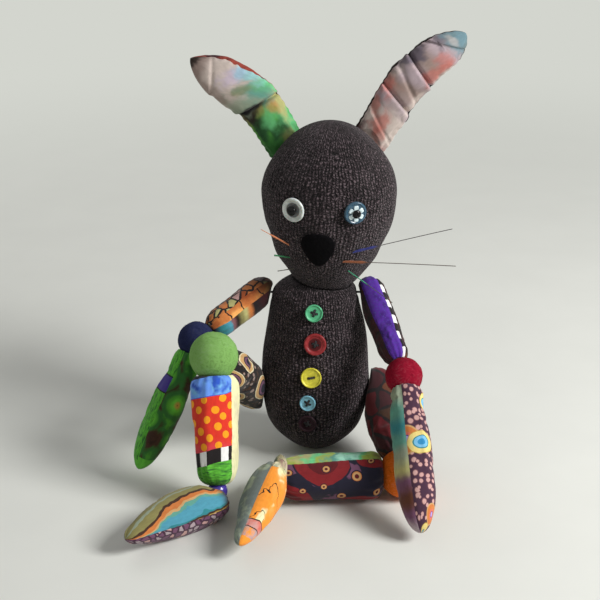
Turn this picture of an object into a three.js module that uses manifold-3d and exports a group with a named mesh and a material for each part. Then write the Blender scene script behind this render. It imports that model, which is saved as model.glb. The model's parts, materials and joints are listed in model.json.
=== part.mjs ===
// A jointed rabbit sock doll, sitting on a flat surface with its limbs strung on felt balls.
// Millimetres, +Z up, the surface at Z = 0. The doll faces -Y, and its own left side is at +X.

import * as THREE from 'three';
import { mergeVertices } from 'three/addons/utils/BufferGeometryUtils.js';
import Module from 'manifold-3d';

const wasm = await Module();
wasm.setup();

// Cloth, thread and clearances
const GAP = 0.3;
const STUFFING_GAP = 0.8;
const SOCK_WALL = 1.6;
const CLOTH_WALL = 1;
const THREAD_RADIUS = 0.8;
const THREAD_HOLD = 10;

// Body: a stuffed sock, pear shaped, that leans back from its base
const BODY_HEIGHT = 124;
const BODY_RADIUS = 36.5;
const BODY_DEPTH = 0.9;
const BODY_SWELL = [0.74, 0.9, 1, 0.985, 0.915, 0.82, 0.72];
const BODY_ROUND_BOTTOM = 26;
const BODY_ROUND_TOP = 14;
const BODY_LEAN = 15;
const BASE_CUT = 0.5;

// Head: a stuffed sock, egg shaped, whose chin is a ball seated in the top of the body
const HEAD_HEIGHT = 117;
const HEAD_RADIUS = 45;
const HEAD_DEPTH = 0.95;
const HEAD_SWELL = [0.82, 0.96, 1, 0.99, 0.95, 0.91];
const HEAD_ROUND_TOP = 48;
const HEAD_TILT_BACK = 3;
const HEAD_TILT_SIDE = 2;
const CHIN_RADIUS = 30;
const CHIN_SEAT = 13.5;
const NECK_SIDE = 7.5;
const NECK_BACK = 3;

// Ears: flat padded bags, bowed, pinched to a rounded root
const EAR_RADIUS = 13.5;
const EAR_DEPTH = 0.42;
const EAR_SWELL = [0.95, 1, 0.94, 0.96, 0.98, 0.8];
const EAR_ROOT_ROUND = 5.5;
const EAR_SINK = 0.9;
const EAR_TIP_ROUND = 26;
const EARS = {
  right: { around: -130, height: 93, length: 84, lean: -49, bow: -9 },
  left: { around: 132, height: 98, length: 93, lean: 38.5, bow: 8 },
};

// Felt balls and beads that the limbs are strung on
const ELBOW_RADIUS = 12.5;
const KNEE_RADIUS = 15;
const ANKLE_RADIUS = 6.5;
const BALL_SEAT_UPPER = 3;
const BALL_SEAT_LOWER = 6;
const BEAD_SEAT = 1.5;

// Arms, from the shoulder thread to the elbow ball and on to the hand's tip
const SHOULDER_HEIGHT = 110;
const SHOULDER_STANDOFF = 6;
const UPPER_ARM_LENGTHS = { right: 59, left: 72 };
const UPPER_ARM_RADIUS = 11;
const UPPER_ARM_SWELL = [1, 1, 0.98, 0.96, 0.94];
const UPPER_ARM_ROUND_END = 14;
const FOREARM_LENGTHS = { right: 93, left: 108 };
const FOREARM_RADII = { right: 11, left: 12.3 };
const FOREARM_SWELL = [0.86, 0.92, 1, 1, 0.94, 0.72];
const FOREARM_ROUND_START = 11;
const FOREARM_ROUND_END = 17;

// Legs, from the hip thread to the knee ball, the ankle bead and the toe's tip
const HIP_HEIGHT = 41.4;
const HIP_STANDOFF = 5.5;
const THIGH_LENGTH = 81;
const THIGH_RADIUS = 15;
const THIGH_SWELL = [1, 1, 1, 0.99, 0.96];
const THIGH_ROUND_END = 19;
const SHIN_LENGTH = 86;
const SHIN_RADIUS = 15.6;
const SHIN_SWELL = [1, 1, 0.99, 0.96, 0.92, 0.88];
const SHIN_ROUND_START = 13;
const SHIN_ROUND_END = 11;
const FOOT_LENGTH = 78;
const FOOT_RADIUS = 13;
const FOOT_DEPTH = 0.9;
const FOOT_SWELL = [0.9, 1, 0.98, 0.84, 0.62, 0.4];
const FOOT_ROUND_START = 12;
const FOOT_ROUND_END = 10;

// Directions of the limbs in degrees: around from straight ahead towards the doll's left, then upwards
const POSE = {
  right: {
    upperArm: [-49, -19.5],
    forearm: [-46, -55.5],
    thigh: [-21.9, 38.9],
    shin: [4.3, -65.9],
    foot: [-42, 0],
  },
  left: {
    upperArm: [18.5, -29.3],
    forearm: [4.3, -37.5],
    thigh: [10.5, -17.5],
    shin: [-86, -0.6],
    foot: [-13, -1.4],
  },
};

// Eyes: a flat button with a bead at its centre. Heights on the head are measured from the chin
const EYE_RADIUS = 7.5;
const EYE_THICKNESS = 2.6;
const EYE_RIM = 1.2;
const PUPIL_RADIUS = 2.6;
const EYES = {
  right: { around: -31, height: 66, color: 0xd9dcd8 },
  left: { around: 20, height: 66.5, color: 0x1b3566 },
};

// Nose: a felt triangle with round corners that follows the head
const NOSE_WIDTH = 19;
const NOSE_HEIGHT = 26;
const NOSE_CORNER = 6;
const NOSE_THICKNESS = 1.6;
const NOSE_PLACE = { around: -10, height: 40 };

// Whiskers: stiff waxed threads set into the muzzle
const WHISKER_RADIUS = 0.5;
const WHISKER_HOLD = 1.8;
const WHISKERS = [
  { name: 'right_whisker_top', around: -41, height: 40, heading: [-62, 32], length: 24, color: 0xe07a4a },
  { name: 'right_whisker_middle', around: -44, height: 30, heading: [-62, 14], length: 12, color: 0x3f7d4a },
  { name: 'right_whisker_bottom', around: -46, height: 21, heading: [-66, -2], length: 12, color: 0x77746c },
  { name: 'left_whisker_top', around: 25, height: 38, heading: [76, 20], length: 67, color: 0x3a5fb0 },
  { name: 'left_whisker_middle', around: 16, height: 31, heading: [68, 7], length: 76, color: 0xd2743c },
  { name: 'left_whisker_bottom', around: 26, height: 23, heading: [66, -27], length: 36, color: 0x2f9a6a },
];

// Buttons down the belly, at drops below the body's top
const BUTTON_THICKNESS = 2.6;
const BUTTON_RIM = 1.5;
const BUTTON_DISH = 0.7;
const BUTTON_HOLE_RADIUS = 0.9;
const BUTTON_HOLE_SPREAD = 1.9;
const BUTTONS = [
  { name: 'green_button', radius: 6, around: -2.5, drop: 18.5, holes: 4, color: 0x1f8f58 },
  { name: 'red_button', radius: 7.5, around: -1, drop: 38.5, holes: 4, color: 0xa81c1c },
  { name: 'yellow_button', radius: 7, around: -5, drop: 60.5, holes: 2, color: 0xd9cf2a },
  { name: 'blue_button', radius: 5.5, around: -8.5, drop: 78, holes: 4, color: 0x5b9bb5 },
  { name: 'maroon_button', radius: 6.3, around: -9, drop: 93, holes: 4, color: 0x3a1520 },
];

// Facets
const BODY_FACETS = { sides: 16, rings: 8 };
const HEAD_FACETS = { sides: 16, rings: 9 };
const LIMB_FACETS = { sides: 10, rings: 6 };
const BALL_FACETS = { sides: 12, rings: 8 };
const BEAD_FACETS = { sides: 10, rings: 6 };
const BUTTON_SIDES = 14;
const THREAD_SIDES = 5;
const WHISKER_SIDES = 4;

const FRONT = new THREE.Vector3(0, -1, 0);
const UP = new THREE.Vector3(0, 0, 1);
const STUFFING_COLOR = 0xf2efe6;
const THREAD_COLOR = 0x1d1b1a;
const SIDES = { right: -1, left: 1 };
const radians = THREE.MathUtils.degToRad;

// A closed mesh as a solid that can be joined and cut
function solid(geometry) {
  const bare = geometry.clone();
  bare.deleteAttribute('normal');
  bare.deleteAttribute('uv');
  const merged = mergeVertices(bare, 1e-5);
  return new wasm.Manifold(new wasm.Mesh({
    numProp: 3,
    vertProperties: new Float32Array(merged.attributes.position.array),
    triVerts: new Uint32Array(merged.index.array),
  }));
}

// A solid back as a mesh geometry
function geometryOf(shape) {
  const mesh = shape.getMesh();
  const geometry = new THREE.BufferGeometry();
  geometry.setAttribute('position', new THREE.BufferAttribute(mesh.vertProperties, 3));
  geometry.setIndex(new THREE.BufferAttribute(mesh.triVerts, 1));
  geometry.computeVertexNormals();
  return geometry;
}

// What is left of a solid after every cutter is taken away
function cutBy(shape, cutters) {
  return cutters.reduce((left, cutter) => left.subtract(solid(cutter)), shape);
}

// Rings of equal point counts, closed by a single point at each end
function skinned(first, rings, last) {
  const sides = rings[0].length;
  const points = [first, ...rings.flat(), last];
  const tip = points.length - 1;
  const triangles = [];
  for (let k = 0; k < sides; k += 1) {
    const next = (k + 1) % sides;
    triangles.push(0, 1 + next, 1 + k);
    for (let i = 0; i + 1 < rings.length; i += 1) {
      const low = 1 + i * sides;
      const high = low + sides;
      triangles.push(low + k, low + next, high + next);
      triangles.push(low + k, high + next, high + k);
    }
    triangles.push(tip, tip - sides + k, tip - sides + next);
  }
  const geometry = new THREE.BufferGeometry().setFromPoints(points);
  geometry.setIndex(triangles);
  return geometry;
}

// A turned piece from [radius, height] pairs between its two points on the axis
function turned(low, profile, high, sides) {
  const loops = profile.map(([radius, height]) => {
    const loop = [];
    for (let k = 0; k < sides; k += 1) {
      const angle = 2 * Math.PI * k / sides;
      loop.push(new THREE.Vector3(radius * Math.cos(angle), radius * Math.sin(angle), height));
    }
    return loop;
  });
  return skinned(new THREE.Vector3(0, 0, low), loops, new THREE.Vector3(0, 0, high));
}

// An end's rounding: 0 at the pole, 1 from the end of the rounded stretch on
function roundedEnd(share) {
  return Math.sqrt(1 - Math.max(0, 1 - share) ** 2);
}

// A stuffed form along +Z from start: it swells and tapers between two rounded ends
function stuffedForm(sizes) {
  const { start = 0, length, radius, swell, roundStart, roundEnd, depth = 1, spine = () => [0, 0] } = sizes;
  const shares = new THREE.SplineCurve(swell.map((share, i) => new THREE.Vector2(i, share)));
  const radiusAt = (s) => radius * shares.getPoint(s).y
    * roundedEnd(s * length / roundStart) * roundedEnd((1 - s) * length / roundEnd);
  return { start, length, depth, spine, radiusAt };
}

// Outward slope of a form's profile at share s of its length, as [across, along]
function profileNormal(form, s) {
  const step = 1e-4;
  const low = Math.max(0, s - step);
  const high = Math.min(1, s + step);
  const across = (high - low) * form.length;
  const along = form.radiusAt(low) - form.radiusAt(high);
  const size = Math.hypot(across, along);
  return [across / size, along / size];
}

// Point of a form's surface at share s and an angle around it, moved outwards by grow
function surfacePoint(form, s, angle, grow = 0) {
  const [across, along] = s <= 0 ? [0, -1] : s >= 1 ? [0, 1] : profileNormal(form, s);
  const radius = form.radiusAt(s);
  const cos = Math.cos(angle);
  const sin = Math.sin(angle);
  const size = Math.hypot(cos * form.depth, sin);
  const [bendX, bendY] = form.spine(s);
  return new THREE.Vector3(
    radius * cos + grow * across * cos * form.depth / size + bendX,
    radius * sin * form.depth + grow * across * sin / size + bendY,
    form.start + s * form.length + grow * along,
  );
}

// The closed surface of a form, moved outwards by grow
function formGeometry(form, { sides, rings }, grow = 0) {
  const loops = [];
  for (let i = 1; i < rings; i += 1) {
    const s = (1 - Math.cos(Math.PI * i / rings)) / 2;
    const loop = [];
    for (let k = 0; k < sides; k += 1) {
      loop.push(surfacePoint(form, s, 2 * Math.PI * k / sides, grow));
    }
    loops.push(loop);
  }
  return skinned(surfacePoint(form, 0, 0, grow), loops, surfacePoint(form, 1, 0, grow));
}

// Share of a form's length at a height in its frame
function shareAt(form, height) {
  return (height - form.start) / form.length;
}

// A frame at a point with +Z along a direction and +X square to it and to a guide
function frameAlong(point, direction, guide) {
  const x = new THREE.Vector3().crossVectors(guide, direction).normalize();
  const y = new THREE.Vector3().crossVectors(direction, x);
  return new THREE.Matrix4().makeBasis(x, y, direction).setPosition(point);
}

// A frame on a form's surface, at degrees around from the front and a height: +Z stands outwards
function surfaceFrame(form, around, height) {
  const s = shareAt(form, height);
  const angle = radians(around - 90);
  const step = 1e-3;
  const point = surfacePoint(form, s, angle);
  const sideways = surfacePoint(form, s, angle + step).sub(point);
  const upwards = surfacePoint(form, s + step, angle).sub(point);
  const outwards = sideways.cross(upwards).normalize();
  return frameAlong(point, outwards, UP);
}

// The same frame, lifted or lowered until a disc on it lies a gap off the form's facets
function seatedFrame(form, facets, { around, height, radius }) {
  const frame = surfaceFrame(form, around, height);
  const inwards = new THREE.Vector3(0, 0, -1).transformDirection(frame);
  const cover = new THREE.Mesh(formGeometry(form, facets));
  const spots = [[0, 0]];
  for (let k = 0; k < BUTTON_SIDES; k += 1) {
    const angle = 2 * Math.PI * k / BUTTON_SIDES;
    for (const reach of [radius / 3, 2 * radius / 3, radius]) {
      spots.push([reach * Math.cos(angle), reach * Math.sin(angle)]);
    }
  }
  const rises = spots.map(([x, y]) => {
    const above = new THREE.Vector3(x, y, radius).applyMatrix4(frame);
    return radius - new THREE.Raycaster(above, inwards).intersectObject(cover)[0].distance;
  });
  return frame.multiply(new THREE.Matrix4().makeTranslation(0, 0, Math.max(...rises) + GAP));
}

// A unit vector from degrees around and upwards
function heading([around, upwards]) {
  const level = Math.cos(radians(upwards));
  return new THREE.Vector3(
    Math.sin(radians(around)) * level,
    -Math.cos(radians(around)) * level,
    Math.sin(radians(upwards)),
  );
}

// A ball whose poles lie along Z
function ball(radius, { sides, rings }) {
  return new THREE.SphereGeometry(radius, sides, rings).rotateX(Math.PI / 2);
}

// A cutter that clears a ball: its flat facets stay a gap away from the ball's radius
function ballSeat(radius, facets) {
  const flats = Math.cos(Math.PI / facets.sides) * Math.cos(Math.PI / (2 * facets.rings));
  return ball((radius + GAP) / flats, facets);
}

// A straight round bar along Z between two heights
function bar(radius, low, high, sides = THREAD_SIDES) {
  return new THREE.CylinderGeometry(radius, radius, high - low, sides)
    .rotateX(Math.PI / 2)
    .translate(0, 0, (low + high) / 2);
}

// The hole that a thread needs, a gap wider and longer than the thread
function threadHole(low, high) {
  return bar(THREAD_RADIUS + GAP, low - GAP, high + GAP);
}

// A group placed in the world, then hung on its parent
function placedGroup(parent, name, frame) {
  const group = new THREE.Group();
  group.name = name;
  group.applyMatrix4(frame);
  group.updateMatrixWorld(true);
  parent.attach(group);
  return group;
}

// A geometry carried from one group's frame into another's
function carried(geometry, from, to) {
  const matrix = to.matrixWorld.clone().invert().multiply(from.matrixWorld);
  return geometry.clone().applyMatrix4(matrix);
}

function addPiece(group, name, shape, color, roughness = 0.95) {
  const material = new THREE.MeshStandardMaterial({ color, roughness, metalness: 0 });
  const mesh = new THREE.Mesh(geometryOf(shape), material);
  mesh.name = name;
  group.add(mesh);
}

// A cloth shell and its stuffing. Faces keep a wall where they cut, mouths open the shell
function addStuffed(group, name, form, { facets, wall, cloth, color, faces = [], mouths }) {
  const faceCuts = (depth) => faces.map((face) => face(depth));
  const outer = cutBy(solid(formGeometry(form, facets)), faceCuts(0));
  const inner = cutBy(solid(formGeometry(form, facets, -wall)), faceCuts(wall));
  const filled = wall + STUFFING_GAP;
  const filling = cutBy(solid(formGeometry(form, facets, -filled)), faceCuts(filled));
  addPiece(group, `${name}_${cloth}`, cutBy(outer.subtract(inner), mouths), color);
  addPiece(group, `${name}_stuffing`, cutBy(filling, mouths), STUFFING_COLOR);
}

const doll = new THREE.Group();
doll.name = 'sock_doll';
const torso = new THREE.Group();
torso.name = 'torso';
torso.position.z = -BASE_CUT;
doll.add(torso);
doll.updateMatrixWorld(true);

const bodyForm = stuffedForm({
  length: BODY_HEIGHT,
  radius: BODY_RADIUS,
  swell: BODY_SWELL,
  roundStart: BODY_ROUND_BOTTOM,
  roundEnd: BODY_ROUND_TOP,
  depth: BODY_DEPTH,
  spine: (s) => [0, BODY_LEAN * s],
});

const headForm = stuffedForm({
  start: -CHIN_RADIUS,
  length: HEAD_HEIGHT,
  radius: HEAD_RADIUS,
  swell: [CHIN_RADIUS / HEAD_RADIUS, CHIN_RADIUS / HEAD_RADIUS, ...HEAD_SWELL],
  roundStart: CHIN_RADIUS,
  roundEnd: HEAD_ROUND_TOP,
  depth: HEAD_DEPTH,
});

// Point on the body's spine at a height in the torso's frame
function bodyCentre(height) {
  const [x, y] = bodyForm.spine(shareAt(bodyForm, height));
  return new THREE.Vector3(x, y, height);
}

// Neck: the chin's ball turns in a seat in the top of the body, on one upright thread
const chinBottom = BODY_HEIGHT - CHIN_SEAT;
const neckPlace = bodyCentre(chinBottom).add(new THREE.Vector3(NECK_SIDE, NECK_BACK, CHIN_RADIUS));
const headTilt = new THREE.Euler(-radians(HEAD_TILT_BACK), radians(HEAD_TILT_SIDE), 0);
const neckFrame = new THREE.Matrix4().makeRotationFromEuler(headTilt);
neckFrame.setPosition(torso.localToWorld(neckPlace.clone()));
const head = placedGroup(torso, 'head', neckFrame);

const chinSeat = ballSeat(CHIN_RADIUS, HEAD_FACETS).translate(...neckPlace);
const neckLow = chinBottom - THREAD_HOLD;
const neckHigh = chinBottom + THREAD_HOLD;
const neckHole = threadHole(neckLow, neckHigh).translate(neckPlace.x, neckPlace.y, 0);
const neckThread = bar(THREAD_RADIUS, neckLow, neckHigh).translate(neckPlace.x, neckPlace.y, 0);
addPiece(torso, 'neck_thread', solid(neckThread), THREAD_COLOR);

// Shoulder and hip threads: straight through the body from limb to limb
function throughThread(name, height, reach) {
  const place = (geometry) => geometry.rotateY(Math.PI / 2).translate(...bodyCentre(height));
  addPiece(torso, name, solid(place(bar(THREAD_RADIUS, -reach, reach))), THREAD_COLOR);
  return place(threadHole(-reach, reach));
}

const armpit = shareAt(bodyForm, SHOULDER_HEIGHT - UPPER_ARM_RADIUS);
const shoulderPlane = bodyForm.radiusAt(armpit) + GAP;
const shoulderOut = shoulderPlane + SHOULDER_STANDOFF;
const hipPlane = BODY_RADIUS + GAP;
const hipOut = hipPlane + HIP_STANDOFF;
const shoulderHole = throughThread('shoulder_thread', SHOULDER_HEIGHT, shoulderOut + UPPER_ARM_RADIUS / 2);
const hipHole = throughThread('hip_thread', HIP_HEIGHT, hipOut + THIGH_RADIUS / 2);

// Body, cut flat at its base
const floorBlock = new THREE.BoxGeometry(4 * BODY_RADIUS, 4 * BODY_RADIUS, 2 * BODY_RADIUS);
addStuffed(torso, 'body', bodyForm, {
  facets: BODY_FACETS,
  wall: SOCK_WALL,
  cloth: 'sock',
  color: 0x39332f,
  faces: [(depth) => floorBlock.clone().translate(0, 0, BASE_CUT + depth - BODY_RADIUS)],
  mouths: [chinSeat, neckHole, shoulderHole, hipHole],
});

// Whiskers: each has a hole in the muzzle
const whiskerHoles = [];
for (const whisker of WHISKERS) {
  const root = new THREE.Vector3().setFromMatrixPosition(
    surfaceFrame(headForm, whisker.around, whisker.height - CHIN_RADIUS),
  );
  const frame = frameAlong(root, heading(whisker.heading), UP);
  const thread = bar(WHISKER_RADIUS, -WHISKER_HOLD, whisker.length, WHISKER_SIDES).applyMatrix4(frame);
  whiskerHoles.push(
    bar(WHISKER_RADIUS + GAP, -WHISKER_HOLD - GAP, whisker.length, WHISKER_SIDES).applyMatrix4(frame),
  );
  addPiece(head, whisker.name, solid(thread), whisker.color, 0.6);
}

addStuffed(head, 'head', headForm, {
  facets: HEAD_FACETS,
  wall: SOCK_WALL,
  cloth: 'sock',
  color: 0x3d3733,
  mouths: [carried(neckHole, torso, head), ...whiskerHoles],
});

// Eyes: a rimmed button and the bead sewn on it
for (const [side, eye] of Object.entries(EYES)) {
  const frame = seatedFrame(headForm, HEAD_FACETS, {
    around: eye.around,
    height: eye.height - CHIN_RADIUS,
    radius: EYE_RADIUS - EYE_RIM,
  });
  const rimmed = [
    [EYE_RADIUS - EYE_RIM, 0],
    [EYE_RADIUS, EYE_THICKNESS / 2],
    [EYE_RADIUS - EYE_RIM, EYE_THICKNESS],
  ];
  const button = turned(0, rimmed, EYE_THICKNESS, BUTTON_SIDES).applyMatrix4(frame);
  const bead = ball(PUPIL_RADIUS, BEAD_FACETS)
    .scale(1, 1, 0.6)
    .translate(0, 0, EYE_THICKNESS + GAP + 0.6 * PUPIL_RADIUS)
    .applyMatrix4(frame);
  addPiece(head, `${side}_eye_button`, solid(button), eye.color, 0.3);
  addPiece(head, `${side}_eye_bead`, solid(bead), 0x0b0b0c, 0.2);
}

// Nose: the part of a felt layer over the head that lies in a rounded triangle
const noseOutline = new THREE.Shape();
const noseHalf = NOSE_WIDTH / 2;
const noseTop = NOSE_HEIGHT / 2;
noseOutline.moveTo(-noseHalf + NOSE_CORNER, noseTop);
noseOutline.lineTo(noseHalf - NOSE_CORNER, noseTop);
noseOutline.quadraticCurveTo(noseHalf, noseTop, noseHalf, noseTop - NOSE_CORNER);
noseOutline.quadraticCurveTo(noseHalf, noseTop - 2 * NOSE_CORNER, NOSE_CORNER / 2, NOSE_CORNER / 3 - noseTop);
noseOutline.quadraticCurveTo(0, -noseTop, -NOSE_CORNER / 2, NOSE_CORNER / 3 - noseTop);
noseOutline.quadraticCurveTo(-noseHalf, noseTop - 2 * NOSE_CORNER, -noseHalf, noseTop - NOSE_CORNER);
noseOutline.quadraticCurveTo(-noseHalf, noseTop, -noseHalf + NOSE_CORNER, noseTop);
const noseExtent = { depth: NOSE_HEIGHT, bevelEnabled: false, curveSegments: 4 };
const noseColumn = new THREE.ExtrudeGeometry(noseOutline, noseExtent)
  .translate(0, 0, -NOSE_HEIGHT / 2)
  .applyMatrix4(surfaceFrame(headForm, NOSE_PLACE.around, NOSE_PLACE.height - CHIN_RADIUS));
const noseFelt = solid(formGeometry(headForm, HEAD_FACETS, GAP + NOSE_THICKNESS))
  .subtract(solid(formGeometry(headForm, HEAD_FACETS, GAP)))
  .intersect(solid(noseColumn));
addPiece(head, 'nose_felt', noseFelt, 0x0a0a0b);

// Belly buttons: dished discs with sewing holes
for (const button of BUTTONS) {
  const profile = [
    [button.radius - BUTTON_RIM / 2, 0],
    [button.radius, BUTTON_THICKNESS / 2],
    [button.radius - BUTTON_RIM / 2, BUTTON_THICKNESS],
    [button.radius - BUTTON_RIM, BUTTON_THICKNESS - BUTTON_DISH],
  ];
  const disc = solid(turned(0, profile, BUTTON_THICKNESS - BUTTON_DISH, BUTTON_SIDES));
  const holes = [];
  for (let k = 0; k < button.holes; k += 1) {
    const angle = 2 * Math.PI * (k + 0.5) / button.holes;
    holes.push(bar(BUTTON_HOLE_RADIUS, -BUTTON_THICKNESS, 2 * BUTTON_THICKNESS, WHISKER_SIDES)
      .translate(BUTTON_HOLE_SPREAD * Math.cos(angle), BUTTON_HOLE_SPREAD * Math.sin(angle), 0));
  }
  const seat = seatedFrame(bodyForm, BODY_FACETS, {
    around: button.around,
    height: BODY_HEIGHT - button.drop,
    radius: button.radius - BUTTON_RIM / 2,
  });
  const place = placedGroup(torso, `${button.name}_place`, torso.matrixWorld.clone().multiply(seat));
  addPiece(place, button.name, cutBy(disc, holes), button.color, 0.35);
}

// Ears: each hinges at its root, a gap off the head
for (const [side, ear] of Object.entries(EARS)) {
  const seat = seatedFrame(headForm, HEAD_FACETS, {
    around: ear.around,
    height: ear.height - CHIN_RADIUS,
    radius: EAR_ROOT_ROUND / 2,
  });
  const root = new THREE.Vector3(0, 0, EAR_ROOT_ROUND - EAR_SINK).applyMatrix4(seat);
  const direction = new THREE.Vector3(Math.sin(radians(ear.lean)), 0, Math.cos(radians(ear.lean)));
  const frame = head.matrixWorld.clone().multiply(frameAlong(root, direction, FRONT));
  const group = placedGroup(head, `${side}_ear`, frame);
  const form = stuffedForm({
    start: -EAR_ROOT_ROUND,
    length: ear.length + EAR_ROOT_ROUND,
    radius: EAR_RADIUS,
    swell: EAR_SWELL,
    roundStart: EAR_ROOT_ROUND,
    roundEnd: EAR_TIP_ROUND,
    depth: EAR_DEPTH,
    spine: (s) => [ear.bow * Math.sin(Math.PI * s), 0],
  });
  addStuffed(group, `${side}_ear`, form, {
    facets: LIMB_FACETS,
    wall: CLOTH_WALL,
    cloth: 'cloth',
    color: side === 'left' ? 0xc9b4a6 : 0x6fa05a,
    faces: [(depth) => carried(formGeometry(headForm, HEAD_FACETS, GAP + depth), head, group)],
    mouths: [threadHole(-2 * EAR_ROOT_ROUND, 0)],
  });
}

// A ball or bead on the end of a limb and the thread that strings it. Returns the room that both need
function addStringing(group, joint, { kind, radius, facets, length, color }) {
  const low = length - radius - THREAD_HOLD;
  const high = length + radius - 2 * GAP;
  const hole = threadHole(low, length + 2 * radius);
  const strung = solid(ball(radius, facets).translate(0, 0, length));
  addPiece(group, `${joint}_${kind}`, cutBy(strung, [hole]), color, 0.98);
  addPiece(group, `${joint}_thread`, solid(bar(THREAD_RADIUS, low, high)), THREAD_COLOR);
  return [ballSeat(radius, facets).translate(0, 0, length), hole];
}

// A block on the body's side of a plane square to X, carried into a limb's frame
function bodySide(plane, sign, group) {
  return (depth) => {
    const size = 4 * BODY_HEIGHT;
    const block = new THREE.BoxGeometry(size, size, size);
    return carried(block.translate(sign * (plane + depth - size / 2), 0, 0), torso, group);
  };
}

const ARM_COLORS = { right: [0x7a4a2a, 0x2c3350, 0x3f7d34], left: [0x4b2a86, 0x9c1f28, 0x4a3040] };
const LEG_COLORS = {
  right: [0x3a2a22, 0x7fae3a, 0xd8542c, 0x5f3f8f, 0x6a5a34],
  left: [0x6b2f1c, 0xd8672a, 0x3b2740, 0x5f3f8f, 0xd88a3a],
};

for (const [side, sign] of Object.entries(SIDES)) {
  const pose = POSE[side];

  // Upper arm, elbow ball and forearm
  const [armColor, elbowColor, forearmColor] = ARM_COLORS[side];
  const shoulder = torso.localToWorld(bodyCentre(SHOULDER_HEIGHT).setX(sign * shoulderOut));
  const upperArm = placedGroup(torso, `${side}_upper_arm`, frameAlong(shoulder, heading(pose.upperArm), UP));
  const elbowCuts = addStringing(upperArm, `${side}_elbow`, {
    kind: 'felt_ball',
    radius: ELBOW_RADIUS,
    facets: BALL_FACETS,
    length: UPPER_ARM_LENGTHS[side],
    color: elbowColor,
  });
  addStuffed(upperArm, `${side}_upper_arm`, stuffedForm({
    start: -UPPER_ARM_RADIUS,
    length: UPPER_ARM_RADIUS + UPPER_ARM_LENGTHS[side] - ELBOW_RADIUS + BALL_SEAT_UPPER,
    radius: UPPER_ARM_RADIUS,
    swell: UPPER_ARM_SWELL,
    roundStart: UPPER_ARM_RADIUS,
    roundEnd: UPPER_ARM_ROUND_END,
  }), {
    facets: LIMB_FACETS,
    wall: CLOTH_WALL,
    cloth: 'cloth',
    color: armColor,
    faces: [bodySide(shoulderPlane, sign, upperArm)],
    mouths: [...elbowCuts, carried(shoulderHole, torso, upperArm)],
  });

  const elbow = upperArm.localToWorld(new THREE.Vector3(0, 0, UPPER_ARM_LENGTHS[side]));
  const forearm = placedGroup(upperArm, `${side}_forearm`, frameAlong(elbow, heading(pose.forearm), UP));
  addStuffed(forearm, `${side}_forearm`, stuffedForm({
    start: ELBOW_RADIUS - BALL_SEAT_LOWER,
    length: FOREARM_LENGTHS[side] - ELBOW_RADIUS + BALL_SEAT_LOWER,
    radius: FOREARM_RADII[side],
    swell: FOREARM_SWELL,
    roundStart: FOREARM_ROUND_START,
    roundEnd: FOREARM_ROUND_END,
  }), {
    facets: LIMB_FACETS,
    wall: CLOTH_WALL,
    cloth: 'cloth',
    color: forearmColor,
    mouths: [ballSeat(ELBOW_RADIUS, BALL_FACETS)],
  });

  // Thigh, knee ball, shin, ankle bead and foot
  const [thighColor, kneeColor, shinColor, beadColor, footColor] = LEG_COLORS[side];
  const hip = torso.localToWorld(bodyCentre(HIP_HEIGHT).setX(sign * hipOut));
  const thigh = placedGroup(torso, `${side}_thigh`, frameAlong(hip, heading(pose.thigh), UP));
  const kneeCuts = addStringing(thigh, `${side}_knee`, {
    kind: 'felt_ball',
    radius: KNEE_RADIUS,
    facets: BALL_FACETS,
    length: THIGH_LENGTH,
    color: kneeColor,
  });
  addStuffed(thigh, `${side}_thigh`, stuffedForm({
    start: -THIGH_RADIUS,
    length: THIGH_RADIUS + THIGH_LENGTH - KNEE_RADIUS + BALL_SEAT_UPPER,
    radius: THIGH_RADIUS,
    swell: THIGH_SWELL,
    roundStart: THIGH_RADIUS,
    roundEnd: THIGH_ROUND_END,
  }), {
    facets: LIMB_FACETS,
    wall: CLOTH_WALL,
    cloth: 'cloth',
    color: thighColor,
    faces: [bodySide(hipPlane, sign, thigh)],
    mouths: [...kneeCuts, carried(hipHole, torso, thigh)],
  });

  const knee = thigh.localToWorld(new THREE.Vector3(0, 0, THIGH_LENGTH));
  const shin = placedGroup(thigh, `${side}_shin`, frameAlong(knee, heading(pose.shin), UP));
  const ankleCuts = addStringing(shin, `${side}_ankle`, {
    kind: 'bead',
    radius: ANKLE_RADIUS,
    facets: BEAD_FACETS,
    length: SHIN_LENGTH,
    color: beadColor,
  });
  addStuffed(shin, `${side}_shin`, stuffedForm({
    start: KNEE_RADIUS - BALL_SEAT_LOWER,
    length: SHIN_LENGTH - KNEE_RADIUS + BALL_SEAT_LOWER - ANKLE_RADIUS + BEAD_SEAT,
    radius: SHIN_RADIUS,
    swell: SHIN_SWELL,
    roundStart: SHIN_ROUND_START,
    roundEnd: SHIN_ROUND_END,
  }), {
    facets: LIMB_FACETS,
    wall: CLOTH_WALL,
    cloth: 'cloth',
    color: shinColor,
    mouths: [ballSeat(KNEE_RADIUS, BALL_FACETS), ...ankleCuts],
  });

  const ankle = shin.localToWorld(new THREE.Vector3(0, 0, SHIN_LENGTH));
  const foot = placedGroup(shin, `${side}_foot`, frameAlong(ankle, heading(pose.foot), UP));
  addStuffed(foot, `${side}_foot`, stuffedForm({
    start: ANKLE_RADIUS - BEAD_SEAT,
    length: FOOT_LENGTH - ANKLE_RADIUS + BEAD_SEAT,
    radius: FOOT_RADIUS,
    swell: FOOT_SWELL,
    roundStart: FOOT_ROUND_START,
    roundEnd: FOOT_ROUND_END,
    depth: FOOT_DEPTH,
  }), {
    facets: LIMB_FACETS,
    wall: CLOTH_WALL,
    cloth: 'cloth',
    color: footColor,
    mouths: [ballSeat(ANKLE_RADIUS, BEAD_FACETS)],
  });
}

export default doll;
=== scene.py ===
"""Looks of a jointed rabbit sock doll, laid out as an add-on and run as a script.

Each operator dresses one group of the doll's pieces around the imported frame: the knitted head and body, the cotton
ears, arms and legs, the felt balls and beads, the eyes, nose and whiskers, the buttons, the threads, and the stage.
"""

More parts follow.
